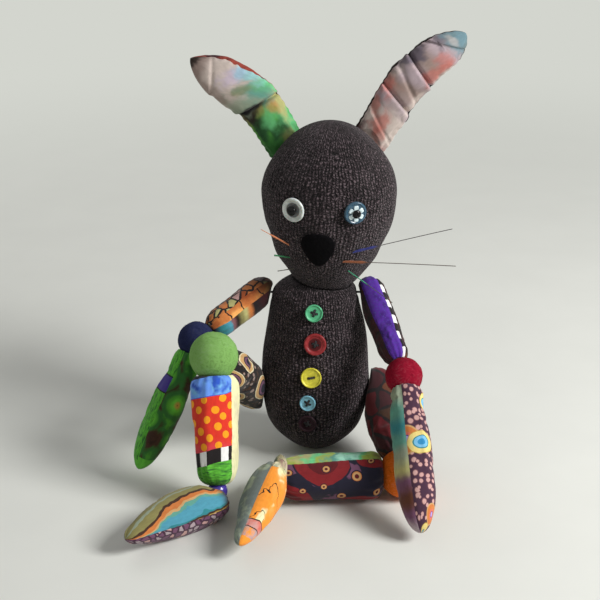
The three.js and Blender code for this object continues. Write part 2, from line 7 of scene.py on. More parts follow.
import json
import math
from types import SimpleNamespace

import bpy
import numpy as np
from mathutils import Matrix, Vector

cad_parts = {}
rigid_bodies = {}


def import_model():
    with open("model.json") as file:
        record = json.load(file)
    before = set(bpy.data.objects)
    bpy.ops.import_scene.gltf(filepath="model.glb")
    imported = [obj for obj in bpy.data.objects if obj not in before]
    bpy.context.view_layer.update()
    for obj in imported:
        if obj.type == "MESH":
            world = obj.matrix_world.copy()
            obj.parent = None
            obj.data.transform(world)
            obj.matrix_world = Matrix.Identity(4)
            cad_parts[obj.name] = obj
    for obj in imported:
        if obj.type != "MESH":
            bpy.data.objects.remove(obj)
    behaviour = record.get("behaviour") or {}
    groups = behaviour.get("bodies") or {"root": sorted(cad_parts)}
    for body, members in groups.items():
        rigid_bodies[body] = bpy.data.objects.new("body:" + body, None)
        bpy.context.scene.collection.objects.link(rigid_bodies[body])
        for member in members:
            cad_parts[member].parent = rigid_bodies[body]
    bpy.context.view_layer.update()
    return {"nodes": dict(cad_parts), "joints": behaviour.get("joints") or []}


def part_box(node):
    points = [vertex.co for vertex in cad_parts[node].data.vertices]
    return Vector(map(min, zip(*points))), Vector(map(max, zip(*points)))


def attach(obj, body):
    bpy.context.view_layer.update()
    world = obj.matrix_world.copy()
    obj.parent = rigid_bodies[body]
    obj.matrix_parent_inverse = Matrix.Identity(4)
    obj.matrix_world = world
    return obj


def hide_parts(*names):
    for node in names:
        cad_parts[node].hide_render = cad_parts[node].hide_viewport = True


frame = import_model()

bl_info = {
    "name": "Sock doll",
    "version": (1, 0, 0),
    "blender": (4, 5, 0),
    "location": "View3D > Sidebar > Sock doll",
    "description": "Dresses the packed frame of a jointed rabbit sock doll",
    "category": "Object",
}

MM = 0.001
VIEW_ELEVATION = math.radians(22)
TO_VIEWER = np.array((0, -math.cos(VIEW_ELEVATION), math.sin(VIEW_ELEVATION)))
FORWARD = np.array((0.0, -1.0, 0.0))
UPWARD = np.array((0.0, 0.0, 1.0))
HINGES = {
    joint["name"]: (np.array(joint["pos_m"]), np.array(joint["axis"]), np.radians(joint["range_deg"]))
    for joint in frame["joints"]
}
JOINTS = {name: hinge[0] for name, hinge in HINGES.items()}
SIDES = ("right", "left")
INSIDE_HEAD = JOINTS["neck_turn"] + 30 * MM * UPWARD

# The photograph was taken from 22 degrees above, 900 mm from the middle of the doll
VIEW_MIDDLE = np.array((-10.6, -40, 125)) * MM
VIEW_DISTANCE = 0.9
LENS, SENSOR, NEAR_CLIP = 84.375, 36, 0.01

# Light and floor, in metres: where the lamps point, and each soft box's name, place, edge and watts
LIT_MIDDLE = np.array((-0.01, -0.03, 0.13))
SOFT_BOXES = (
    ("key", (1.1, -0.5, 0.9), 0.55, 24.0),
    ("fill", (-1.0, -0.9, 0.7), 1.2, 1.2),
    ("rim", (-0.5, 0.9, 0.9), 0.8, 3.0),
)
WORLD_LIGHT = 0.23
FLOOR_HALF = 6.0
FLOOR_FADE = (0.25, 1.3)

# The cloth that a bag is filled as, and how many frames the filling takes
FILL_FRAMES = 20
CLOTH = {
    "quality": 6, "mass": 0.15, "tension_stiffness": 12, "compression_stiffness": 12, "shear_stiffness": 6,
    "bending_stiffness": 0.3, "use_pressure": True, "uniform_pressure_force": 3.0, "vertex_group_mass": "held",
    "vertex_group_shrink": "seams", "shrink_min": -0.03, "shrink_max": 0.05,
}
# How full the bags are, and the largest move of their cloth
FULLNESS = {"body": (0.9, 1.2 * MM), "head": (0.9, 1.0 * MM), "ear": (0.3, 0.9 * MM), "limb": (0.85, 1.3 * MM)}
# Cloth is pinned within this room of a ball, or where a neighbour moves it by more than this; levels of seam weights
PIN_ROOM, PIN_MOVE, SEAM_LEVELS = 0.2 * MM, 0.02 * MM, 8
# What bag() notes down for each bag: seam weights, shares of the moves, neighbours and the largest move
BAGS = {}


def linear(code):
    """An sRGB hex code as linear red, green and blue with alpha 1."""
    parts = [int(code[i:i + 2], 16) / 255 for i in (1, 3, 5)]
    return tuple(c / 12.92 if c <= 0.04045 else ((c + 0.055) / 1.055) ** 2.4 for c in parts) + (1.0,)


def colour(label, words, code):
    """A colour that a user may change."""
    return bpy.props.FloatVectorProperty(
        name=label, description=words, subtype="COLOR", size=4, min=0, max=1, default=linear(code)
    )


def length(label, words, millimetres):
    """A size that a user may change."""
    return bpy.props.FloatProperty(name=label, description=words, unit="LENGTH", default=millimetres * MM, min=0)


def settings(make, rows):
    """A property group's settings, one for each row of name, description and value."""
    return {name: make(name.replace("_", " ").capitalize(), words, value) for name, words, value in rows}


def toned(tint, factor, plus=0.0):
    """A colour made lighter or darker: each part by a factor, and a little more, at most 1."""
    return tuple(min(1, factor * c + plus) for c in tint[:3]) + (1.0,)


SIZES = (
    ("body_height", "From the base to the top of the body", 124),
    ("body_radius", "Half the width of the body at its fullest", 36.5),
    ("body_lean", "How far back the body's top stands behind its base", 15),
    ("head_radius", "Half the width of the head at its fullest", 45),
    ("chin_radius", "Radius of the chin that sits in the body", 30),
    ("ear_radius", "Half the width of an ear", 13.5),
    ("upper_arm_radius", "Half the width of an upper arm", 11),
    ("right_forearm_radius", "Half the width of the right forearm", 11),
    ("left_forearm_radius", "Half the width of the left forearm", 12.3),
    ("thigh_radius", "Half the width of a thigh", 15),
    ("shin_radius", "Half the width of a shin", 15.6),
    ("foot_radius", "Half the width of a foot", 13),
    ("wale", "Width of one column of the sock's stitches", 2.5),
    ("weave", "Spacing of the cotton's threads, drawn coarse enough to show", 0.8),
    ("whisker_stitch", "Length of the thick stitch at a whisker's root", 14),
    ("thread_radius", "Radius of the black thread through the buttons", 0.45),
)


class DollSizes(bpy.types.PropertyGroup):
    """Sizes of the sewn pieces"""
    __annotations__ = settings(length, SIZES)


DYES = (
    # ink is also dabbed into the right ear's main crease as painted shadow.
    ("ink", "Near black of the prints", "#171012"),
    ("bark", "Darkest brown", "#22140d"),
    ("chestnut", "Dark red brown", "#5a2f1a"),
    ("rust", "Orange brown", "#a04c22"),
    ("orange", "Clear orange of the left foot", "#ee932f"),
    ("amber", "Orange of the polka dots", "#f59f17"),
    ("tan", "Pale brown", "#c39a66"),
    ("ochre", "Brownish yellow", "#bd9b43"),
    ("olive", "Grey green brown", "#857e4c"),
    ("cream", "Warm off-white", "#ddd3ae"),
    ("straw", "Pale yellow of the right shin's back", "#e9e4b2"),
    ("white", "White of the blocks and checks", "#ecebe8"),
    ("coral", "Orange pink", "#cf6a58"),
    ("red", "Ground of the polka dots", "#d8321f"),
    ("crimson", "Deep red of the left shin", "#7d1a20"),
    # maroon is also dabbed at the left ear's root as painted shadow.
    ("maroon", "Very dark red", "#3a1218"),
    ("plum", "Dark ground of the left forearm", "#43273a"),
    ("mauve", "Greyed purple of the left shin", "#6d4660"),
    ("lilac", "Pale violet", "#a99ad8"),
    ("violet", "Purple of the left upper arm", "#4f2390"),
    ("indigo", "Purple patch on the right forearm", "#46398c"),
    ("navy", "Blue black", "#181629"),
    ("blue", "Blue of the right shin's top", "#6697ec"),
    ("deep", "Darker blotches of that blue", "#2a55bd"),
    ("sky", "Pale blue", "#74b4d8"),
    ("lagoon", "Greyed blue of the right foot", "#4c93a8"),
    ("steel", "Mid blue", "#2f86b6"),
    ("teal", "Dark blue green", "#2f7f86"),
    ("sea", "Greyed blue green", "#5d9a8a"),
    ("aqua", "Pale blue green", "#9fd8c0"),
    ("mint", "Clear pale green", "#66c987"),
    ("leaf", "Bright green", "#4f9e2f"),
    ("moss", "Dark green", "#2f6a2c"),
    ("lime", "Yellow green", "#a2b44c"),
    ("slate", "Grey of the left foot's back", "#68736f"),
    ("stone", "Grey pink", "#a8979c"),
    ("dove", "Grey green", "#8f9a84"),
    ("brick", "Red brown of the right ear's back", "#8f3a2c"),
    ("pine", "Very dark green at the right ear's root", "#1d4a25"),
    ("fern", "Clear green of the right ear", "#5fb06f"),
    ("grass", "Brightest green of the right forearm's tip", "#63bf3a"),
    ("khaki", "Greyed yellow", "#b3ae72"),
    ("shell", "Pale grey pink of the ears", "#c4b5ac"),
    ("taupe", "Brown grey of the ears", "#948078"),
    ("mist", "Pale grey blue of the right ear", "#93c3c2"),
    ("stain", "Soft red stains of the left ear", "#b8685c"),
    ("blush", "Soft grey pink", "#c59a94"),
    ("copper", "Dull orange", "#c4743a"),
    ("apricot", "Paler orange of the left foot", "#efab5c"),
    ("umber", "Dark brown between black and chestnut", "#40281a"),
    ("rose", "Pinker red below the polka dots", "#d8404a"),
    ("rosewood", "Edge of the left forearm's pebbles", "#7d5357"),
    ("claret", "Deepest red of the left shin", "#5a1018"),
    ("grape", "Darker purple of the left upper arm", "#3a1470"),
    # dusk is partly dabbed on the left ear as painted shadow beside a fold.
    ("dusk", "Dark purple grey of the left ear", "#5a525e"),
    ("drift", "Grey blue of the left ear's tip", "#67858f"),
    ("butter", "Yellow rings of the left forearm", "#dfca7c"),
)


class DollDyes(bpy.types.PropertyGroup):
    """Dyes of the printed cottons"""
    __annotations__ = settings(colour, DYES)


TRIMS = (
    # The sock's yarn colours are laid by the nubs' height as well as by the strands: the darkest, and a near black
    # made from it, partly paint the shade between loops, the palest partly a highlight on their tops.
    ("yarn_dark", "Darkest strand of the marled sock", "#161012"),
    ("yarn_mid", "Main strand of the marled sock", "#30272a"),
    ("yarn_pale", "Flecks of the marled sock", "#66595d"),
    ("right_elbow", "Dark blue felt ball", "#262b4d"),
    ("left_elbow", "Red felt ball", "#8c152b"),
    ("right_knee", "Green felt ball", "#7fac5e"),
    ("left_knee", "Orange felt ball", "#da6a1b"),
    ("ankle_bead", "Purple painted bead", "#4a3aa0"),
    ("green_button", "Topmost button", "#4fae7c"),
    ("red_button", "Second button", "#8c1a1e"),
    ("red_button_middle", "Deep dish of the red button", "#48090d"),
    ("yellow_button", "Third button", "#d6cc33"),
    ("blue_button", "Fourth button", "#74adc2"),
    ("maroon_button", "Lowest button", "#2a0c1a"),
    ("right_eye", "Translucent pale grey button", "#cfd1cc"),
    ("right_eye_middle", "Thin middle of the pale button", "#6b6f70"),
    ("left_eye", "Dark blue button", "#1b485f"),
    ("petals", "Small flower button on the left eye", "#d3e5ea"),
    ("pupil", "Black glass bead", "#08080a"),
    ("nose", "Black felt", "#0d0c0e"),
    ("thread", "Black waxed thread", "#17161a"),
    ("right_whisker_top", "Salmon thread", "#e0895c"),
    ("right_whisker_middle", "Green thread", "#3f9a62"),
    ("right_whisker_bottom", "Grey thread", "#6b665c"),
    ("left_whisker_top", "Blue thread", "#3a4092"),
    ("left_whisker_middle", "Orange thread", "#a8623f"),
    ("left_whisker_bottom", "Sea green thread", "#3fa37c"),
    ("whisker_end", "Thin waxed end of a whisker", "#4a4038"),
)


class DollTrims(bpy.types.PropertyGroup):
    """Colours of the yarn, felt, buttons, beads and threads"""
    __annotations__ = settings(colour, TRIMS)


class DollStage(bpy.types.PropertyGroup):
    """Floor and light"""
    __annotations__ = settings(colour, (
        ("floor", "Plain pale floor", "#e2e3dc"),
        ("backdrop", "What shows beyond the floor", "#d3d5ce"),
    ))


# Arrays and places

def unit(vectors):
    """Vectors at length 1."""
    return vectors / np.linalg.norm(vectors, axis=-1, keepdims=True)


def spun(vectors, axis, angle):
    """Vectors turned about an axis of length 1."""
    along_axis = (vectors @ axis)[..., None] * axis
    return along_axis + (vectors - along_axis) * math.cos(angle) + np.cross(axis, vectors) * math.sin(angle)


def corners_of(mesh):
    """A mesh's vertices as an array."""
    flat = np.empty(3 * len(mesh.vertices))
    mesh.vertices.foreach_get("co", flat)
    return flat.reshape(-1, 3)


def node_points(node):
    """Every different corner of a frame node, in metres."""
    return np.unique(corners_of(frame["nodes"][node].data).round(7), axis=0)


def reach(point, node):
    """The corner of a node farthest from a point, and its distance."""
    corners = node_points(node)
    far = np.linalg.norm(corners - point, axis=1)
    return corners[far.argmax()], far.max()


def along(origin, tip, towards=TO_VIEWER):
    """A place at origin: its axis points to tip, its front leans towards a direction, across completes them."""
    axis = unit(tip - origin)
    front = unit(towards - (towards @ axis) * axis)
    return SimpleNamespace(origin=origin, axis=axis, front=front, across=np.cross(axis, front))


def shifted(place, offset):
    """The same place, moved."""
    return SimpleNamespace(origin=place.origin + offset, axis=place.axis, front=place.front, across=place.across)


def beside(points, place):
    """How far points lie along a place's axis, and their way from that axis."""
    local = points - place.origin
    rise = local @ place.axis
    return rise, local - rise[..., None] * place.axis


def disc_of(node, inside):
    """The place of a flat round node: its back's middle, its axis away from a point inside, radius and height."""
    corners = node_points(node)
    middle = (corners.max(0) + corners.min(0)) / 2
    middle = corners.mean(0) * 0.5 + middle * 0.5
    axis = np.linalg.svd(corners - corners.mean(0), full_matrices=False)[2][2]
    axis = axis * np.sign((middle - inside) @ axis)
    heights = (corners - middle) @ axis
    centre = middle + axis * heights.min()
    place = along(centre, centre + axis, UPWARD)
    _, flat = beside(corners, place)
    place.radius, place.height = np.linalg.norm(flat, axis=1).max(), np.ptp(heights)
    return place


def swelling(shares, s):
    """A smooth curve through equally spaced shares (Catmull-Rom), read at s from 0 to 1."""
    shares = np.asarray(shares, float)
    last = len(shares) - 1
    i = np.clip(np.floor(s * last).astype(int), 0, last - 1)
    w = s * last - i
    p0, p1, p2, p3 = (shares[np.clip(i + k, 0, last)] for k in (-1, 0, 1, 2))
    a, b = (p2 - p0) / 2, (p3 - p1) / 2
    return (2 * p1 - 2 * p2 + a + b) * w**3 + (3 * p2 - 3 * p1 - 2 * a - b) * w**2 + a * w + p1


def rounded(share, power=2.0):
    """An end's rounding: 0 at the pole, 1 from the end of the rounded stretch on. A higher power is squarer."""
    return (1 - np.clip(1 - share, 0, 1) ** power) ** (1 / power)


def smooth_step(low, high, value):
    """0 below low, 1 above high, an S curve between."""
    t = np.clip((value - low) / (high - low), 0, 1)
    return t * t * (3 - 2 * t)


def lumps(points, pitch, seed):
    """Soft unevenness between about -1 and 1: a sum of eight plane waves in seeded directions, pitch apart."""
    draw = np.random.default_rng(seed)
    ways = unit(draw.normal(size=(8, 3))) / pitch * draw.uniform(0.7, 1.4, (8, 1))
    phases = draw.uniform(0, 2 * np.pi, 8)
    return np.cos(2 * np.pi * (points @ ways.T) + phases).sum(-1) / 4


def seamed_angles(starts, columns):
    """Angles around a bag, spaced so that each seam falls on one of them, and the panel that each column is in."""
    edges = np.radians(np.append(starts, starts[0] + 360))
    counts = np.maximum(4, np.round(columns * np.diff(edges) / (2 * np.pi)).astype(int))
    angles = [np.linspace(a, b, n, endpoint=False) for a, b, n in zip(edges, edges[1:], counts)]
    return np.append(np.concatenate(angles), edges[-1]), np.repeat(np.arange(len(starts)), counts)


# How finely a swing is tried, and how softly a limb eases off the body's side
SWING_STEPS, BODY_STEPS, BODY_EASE = 7, 9, 2 * MM
# A sewn disc: how near cloth has to be to count, how far under the disc it stays, where that ends in shares of the
# disc's radius, and the spread of the dimple
DISC_NEAR, DISC_UNDER, DISC_EDGE, DIMPLE_SPREAD = 8 * MM, 0.1 * MM, (1.4, 0.95), 1.15


def kept_clear(points, limits):
    """Points moved out of what the piece rests against: out of a ball to its skin, softly off the body's side,
    along a neighbour's own way out, at rest and as far as the piece swings on its hinge, onto the floor, or behind
    a disc that is sewn on, which also pulls a shallow dimple."""
    points = points.copy()
    for kind, *facts in limits:
        if kind == "ball":
            centre, radius = facts
            away = points - centre
            far = np.linalg.norm(away, axis=-1, keepdims=True)
            points = np.where(far < radius, centre + away * radius / np.maximum(far, 1e-6), points)
        elif kind == "body":
            (hinge, axis, swing), gap = facts
            side = np.sign(hinge[0])
            near = np.zeros(points.shape[:-1])
            for angle in np.linspace(*swing, BODY_STEPS):
                _, y, z = np.moveaxis(hinge + spun(points - hinge, axis, angle), -1, 0)
                near = np.maximum(near, body_breadth(y, z))
            past = side * points[..., 0] - near - gap
            softened = near + gap + 0.5 * (past + np.hypot(past, BODY_EASE))
            points[..., 0] = np.where(near > 0, side * softened, points[..., 0])
        elif kind == "floor":
            points[..., 2] = np.maximum(points[..., 2], 0.0)
        elif kind == "swept":
            (hinge, axis, swing), way_out = facts
            there = np.linspace(*swing, SWING_STEPS)
            for angle in (*there, *there[::-1], 0):
                out = way_out(hinge + spun(points - hinge, axis, angle))
                points = points + spun(out, axis, -angle)
        else:
            disc, pull = facts
            rise, flat = beside(points, disc)
            spread = np.linalg.norm(flat, axis=-1) / disc.radius
            near = np.abs(rise) < DISC_NEAR
            under = np.where(near, np.maximum(rise + DISC_UNDER, 0) * smooth_step(*DISC_EDGE, spread), 0)
            dimple = np.where(near, pull * np.exp(-(spread / DIMPLE_SPREAD) ** 2), 0)
            points = points - (under + dimple)[..., None] * disc.axis
    return points


# Meshes

def placed(name, data):
    """A new object of some data, in the scene."""
    made = bpy.data.objects.new(name, data)
    bpy.context.scene.collection.objects.link(made)
    return made


def skin(name, rings, first, last, materials, around=None, steps=None, owner=None):
    """A closed mesh, or several: rings of equal point counts are joined by quads in order and closed by a point at
    each end. Its UV map "cloth" has around across the rings and steps along them. Owner gives each column's
    material."""
    rings = rings.reshape((-1,) + rings.shape[-3:])
    shells, m, n = rings.shape[:3]
    ends = [np.reshape(end, (shells, 1, 3)) for end in (first, last)]
    vertices = np.concatenate((ends[0], rings.reshape(shells, m * n, 3), ends[1]), 1).reshape(-1, 3)
    k = np.arange(n)
    after = (k + 1) % n
    low = 1 + n * np.arange(m - 1)[:, None]
    tip = m * n + 1
    parts = (
        np.stack((low + k, low + after, low + n + after, low + n + k), -1).reshape(-1, 4),
        np.stack((0 * k, 1 + after, 1 + k), -1),
        np.stack((0 * k + tip, tip - n + k, tip - n + after), -1),
    )
    offsets = (tip + 1) * np.arange(shells)[:, None, None]
    faces = [face for part in parts for face in (part + offsets).reshape(-1, part.shape[1]).tolist()]
    mesh = bpy.data.meshes.new(name)
    mesh.from_pydata(vertices.tolist(), [], faces)
    around = np.linspace(0, 1, n + 1) if around is None else around
    steps = np.linspace(0, 1, m + 2) if steps is None else steps
    u0, u1 = around[:-1], around[1:]
    middle = (u0 + u1) / 2
    v0, v1 = steps[1:-2, None] + 0 * u0, steps[2:-1, None] + 0 * u0
    quad_uv = np.stack((u0 + 0 * v0, v0, u1 + 0 * v0, v0, u1 + 0 * v0, v1, u0 + 0 * v0, v1), -1).reshape(-1)
    cap_uv = np.stack((middle, 0 * k + steps[0], u1, 0 * k + steps[1], u0, 0 * k + steps[1]), -1).reshape(-1)
    end_uv = np.stack((middle, 0 * k + steps[-1], u0, 0 * k + steps[-2], u1, 0 * k + steps[-2]), -1).reshape(-1)
    layer = mesh.uv_layers.new(name="cloth")
    layer.data.foreach_set("uv", np.concatenate([np.tile(uv, shells) for uv in (quad_uv, cap_uv, end_uv)]))
    if owner is not None:
        mesh.polygons.foreach_set("material_index", np.concatenate((np.tile(owner, m - 1), owner, owner)))
    mesh.polygons.foreach_set("use_smooth", np.ones(len(mesh.polygons), bool))
    for material in materials:
        mesh.materials.append(material)
    mesh.update()
    return placed(name, mesh)


def smoothed(piece):
    """Gives a piece one live subdivision."""
    finish = piece.modifiers.new("Smooth", "SUBSURF")
    finish.levels = finish.render_levels = 1


def dressed(piece, body, slot, *nodes, smooth=False):
    """A finished piece: it rides a body and stands for frame nodes. The slot argument is not used."""
    if smooth:
        smoothed(piece)
    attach(piece, body)
    if nodes:
        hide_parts(*nodes)


def radii(form, s):
    """Radius of a stuffed form at share s of its length: its radius by its swell by the rounding of both ends."""
    return (
        form.radius * swelling(form.swell, s)
        * rounded(s * form.length / form.round_start, form.square)
        * rounded((1 - s) * form.length / form.round_end) ** form.point
    )


def stuffed(**sizes):
    """A stuffed form's sizes, with what most of them share."""
    shared = dict(
        start=0.0, depth=1.0, flat=None, bend=None, twist=None, square=2.0, point=1.0, rows=54, columns=64,
        pleats=0, pleat_start=0.0, pleat_end=0.0, pleat_fade=9 * MM, groove=0.35 * MM, pucker=0.22 * MM,
        pucker_pitch=5 * MM, lump=0.35 * MM, lump_pitch=26 * MM, folds=(), shrink=0.6 * MM, seed=1,
    )
    return SimpleNamespace(**{**shared, **sizes})


# Seams: widths of the groove, of the puckers beside it and of the cloth that is drawn up
GROOVE_WIDTH, PUCKER_WIDTH, SEAM_WIDTH = 1.2 * MM, 6 * MM, 2.5 * MM
# Folds, in widths of the fold: where the step rises, how fast it eases off, the lip's share of the lift and its
# width, and how far the fold spreads sideways
FOLD_RISE, FOLD_EASE, LIP_SHARE, LIP_WIDTH, FOLD_ASIDE = (-0.14, 0.04), 1.3, 0.6, 0.16, 0.3
# The crevice under a fold: its depth in heights of the fold, how far before it, and its width
CREVICE_DEPTH, CREVICE_BEFORE, CREVICE_WIDTH = 1.15, 2.2 * MM, 1.5 * MM


def bag(name, place, form, panels, limits, fill, cap):
    """A stuffed bag of sewn panels. The ring at share s has the form's radius, less what the filling gives back.
    Each seam pulls in a groove, exp(-(arc/width)^2), with puckers that run along it and fade beside it. Pleats add
    cos(count x angle), fading from each end. A fold lifts the cloth in a sharp step with an overhanging lip that
    eases off towards the tip, or towards the root where its width is negative. A twist turns the seams along the
    way. The ring is flattened along one direction, carried along a bent spine, made uneven and kept off its
    neighbours."""
    t = np.arange(1, form.rows) / form.rows
    s = 0.5 * t + 0.25 * (1 - np.cos(np.pi * t))
    run = np.concatenate(([0], s, [1]))
    angles, owner = seamed_angles([start for start, _ in panels], form.columns)
    turn = angles[:-1]
    ring = np.maximum(radii(form, s) - form.shrink, 0.25 * radii(form, s))[:, None]
    seams = np.radians([start for start, _ in panels])
    apart = np.abs((turn[:, None] - seams + np.pi) % (2 * np.pi) - np.pi) * form.radius
    arc = apart.min(1)
    v = (run * form.length)[1:-1, None]
    body_of_bag = smooth_step(0, 0.25, np.minimum(s, 1 - s) * 4)[:, None]
    groove = form.groove * np.exp(-((arc / GROOVE_WIDTH) ** 2))
    pucker = form.pucker * np.exp(-((arc / PUCKER_WIDTH) ** 2)) * np.cos(
        2 * np.pi * v / form.pucker_pitch + 1.9 * apart.argmin(1)
    )
    pleat = np.cos(form.pleats * turn + form.seed) + 0.5 * np.cos((form.pleats + 3) * turn + 2.1 * form.seed)
    fade = (
        form.pleat_start * np.exp(-s * form.length / form.pleat_fade)
        + form.pleat_end * np.exp(-(1 - s) * form.length / form.pleat_fade)
    )
    ring = ring * (1 + fade[:, None] * pleat) + (pucker - groove) * body_of_bag
    faced = turn + (0 if form.twist is None else form.twist(s)[:, None]) + np.zeros((form.rows - 1, 1))
    out = np.cos(faced)[..., None] * place.front + np.sin(faced)[..., None] * place.across
    if form.flat is not None:
        out = out - (1 - form.depth) * (out @ form.flat)[..., None] * form.flat
    spine = place.origin + (form.start + run * form.length)[:, None] * place.axis
    if form.bend is not None:
        spine = spine + form.bend(run)
    points = spine[1:-1, None] + ring[..., None] * out
    for share, slant, height, width in form.folds:
        sideways = (points - spine[1:-1, None]) @ place.across
        x = (v + sideways * math.tan(math.radians(slant)) - share * form.length) / width
        lift = height * smooth_step(*FOLD_RISE, x) * np.exp(-FOLD_EASE * np.maximum(x, 0)) * body_of_bag
        lip = LIP_SHARE * lift * np.exp(-((x / LIP_WIDTH) ** 2)) * np.sign(width)
        crevice = np.exp(-(((x * abs(width) + CREVICE_BEFORE) / CREVICE_WIDTH) ** 2)) * (np.cos(faced) > 0)
        lift = lift - CREVICE_DEPTH * height * crevice * body_of_bag
        points = points + lift[..., None] * place.front - lip[..., None] * place.axis
        points = points + (FOLD_ASIDE * lift * np.sin(faced))[..., None] * place.across
    uneven = form.lump * lumps(points, form.lump_pitch, form.seed) * body_of_bag
    points = kept_clear(points + uneven[..., None] * out, limits)
    ends = kept_clear(spine[[0, -1]], limits)
    piece = skin(
        name, points, ends[0], ends[1], [material for _, material in panels],
        angles * form.radius, run * form.length, owner,
    )
    weights = np.concatenate(([0], np.tile(np.exp(-((arc / SEAM_WIDTH) ** 2)), form.rows - 1), [0]))
    inward = smooth_step(0.3, 1.0, np.minimum(s / form.round_start, (1 - s) / form.round_end) * form.length)
    shares = np.concatenate(([0], np.repeat(inward, len(turn)), [0]))[:, None]
    BAGS[name] = SimpleNamespace(seams=weights, shares=shares, limits=limits, cap=cap)
    return piece


def tubes(name, paths, radius, materials, sides=8, guide=UPWARD):
    """Threads: a circle of the given radius, which may change along the way, carried square to each path."""
    tangent = unit(np.gradient(paths, axis=1))
    side = unit(np.cross(tangent, guide))
    up = np.cross(tangent, side)
    turn = np.linspace(0, 2 * np.pi, sides, endpoint=False)[:, None]
    out = np.cos(turn) * side[:, :, None] + np.sin(turn) * up[:, :, None]
    rings = paths[:, :, None] + np.broadcast_to(radius, paths.shape[1])[None, :, None, None] * out
    return skin(name, rings, paths[:, 0], paths[:, -1], materials)


def turned(place, profile, columns, rings, petals=0, notch=0.0, soften=3):
    """A turned piece: a profile of radius and height, evenly respaced and softened, swept round the place's axis.
    Between petals the radius is cut by notch x exp(-(distance / 0.15)^2), the distance in petals, fading inwards.
    Returns radius, angle and the rings' points."""
    profile = np.asarray(profile, float)
    walked = np.append(0, np.cumsum(np.linalg.norm(np.diff(profile, axis=0), axis=1)))
    at = np.linspace(0, walked[-1], rings)
    curve = np.stack([np.interp(at, walked, profile[:, i]) for i in (0, 1)], -1)
    for _ in range(soften):
        curve[1:-1] = (curve[:-2] + 2 * curve[1:-1] + curve[2:]) / 4
    turn = np.linspace(0, 2 * np.pi, columns, endpoint=False)
    apart = np.abs(np.mod(turn * petals / (2 * np.pi), 1) - 0.5)
    cut = notch * np.exp(-((apart / 0.15) ** 2)) * smooth_step(0.3, 0.9, curve[:, :1] / curve[:, 0].max())
    radius = curve[:, :1] * (1 - cut)
    sweep = np.cos(turn)[:, None] * place.front + np.sin(turn)[:, None] * place.across
    points = place.origin + radius[..., None] * sweep + (curve[:, 1:] * place.axis)[:, None]
    return radius, turn, points


def closed(name, points, material):
    """A mesh of a turned piece's points, whose first and last rings are its poles."""
    return skin(name, points[1:-1], points[0, 0], points[-1, 0], [material])


# Materials

def feed(tree, socket, value):
    """Joins a socket to another one, or gives it a value."""
    if isinstance(value, bpy.types.NodeSocket):
        tree.links.new(value, socket)
    else:
        socket.default_value = value


def add(tree, kind, inputs=(), **settings):
    """Adds one shader node, gives it its settings, then joins or sets its inputs by place or by name."""
    node = tree.nodes.new("ShaderNode" + kind)
    stops = settings.pop("stops", ())
    for key, value in settings.items():
        setattr(node, key, value)
    for i, (position, tint) in enumerate(stops):
        mark = node.color_ramp.elements[i] if i < 2 else node.color_ramp.elements.new(position)
        mark.position, mark.color = position, tint
    for key, value in inputs.items() if isinstance(inputs, dict) else enumerate(inputs):
        feed(tree, node.inputs[key], value)
    return node


def per(millimetres):
    """Texture scale at which one cell of a pattern measures so many millimetres."""
    return 1 / (millimetres * MM)


def wave_scale(pitch):
    """Scale of a wave texture, which has 20 radians per unit, at which one wave measures a pitch in metres."""
    return 2 * math.pi / (20 * pitch)


def new_material(name):
    """An empty node material with its surface shader, and its tree."""
    material = bpy.data.materials.new(name)
    material.use_nodes = True
    return material, material.node_tree, material.node_tree.nodes["Principled BSDF"]


def set_inputs(tree, shader, **values):
    """Sets a shader's sockets by name, with _ for a space, and joins those given as sockets."""
    for key, value in values.items():
        feed(tree, shader.inputs[key.replace("_", " ")], value)


class Nodes:
    """A node tree, and ways to add to it that return one output."""

    def __init__(self, tree):
        self.tree = tree

    def put(self, kind, inputs=(), out=0, **settings):
        """Adds a node and returns one of its outputs."""
        return add(self.tree, kind, inputs, **settings).outputs[out]

    def calc(self, operation, *values):
        """Adds a sum on sockets and numbers, and returns its result."""
        return self.put("Math", values, operation=operation)

    def mix(self, share, first, second, **settings):
        """Adds a colour mix: the first where share is 0, the second where it is 1."""
        return self.put("Mix", {0: share, 6: first, 7: second}, 2, data_type="RGBA", **settings)


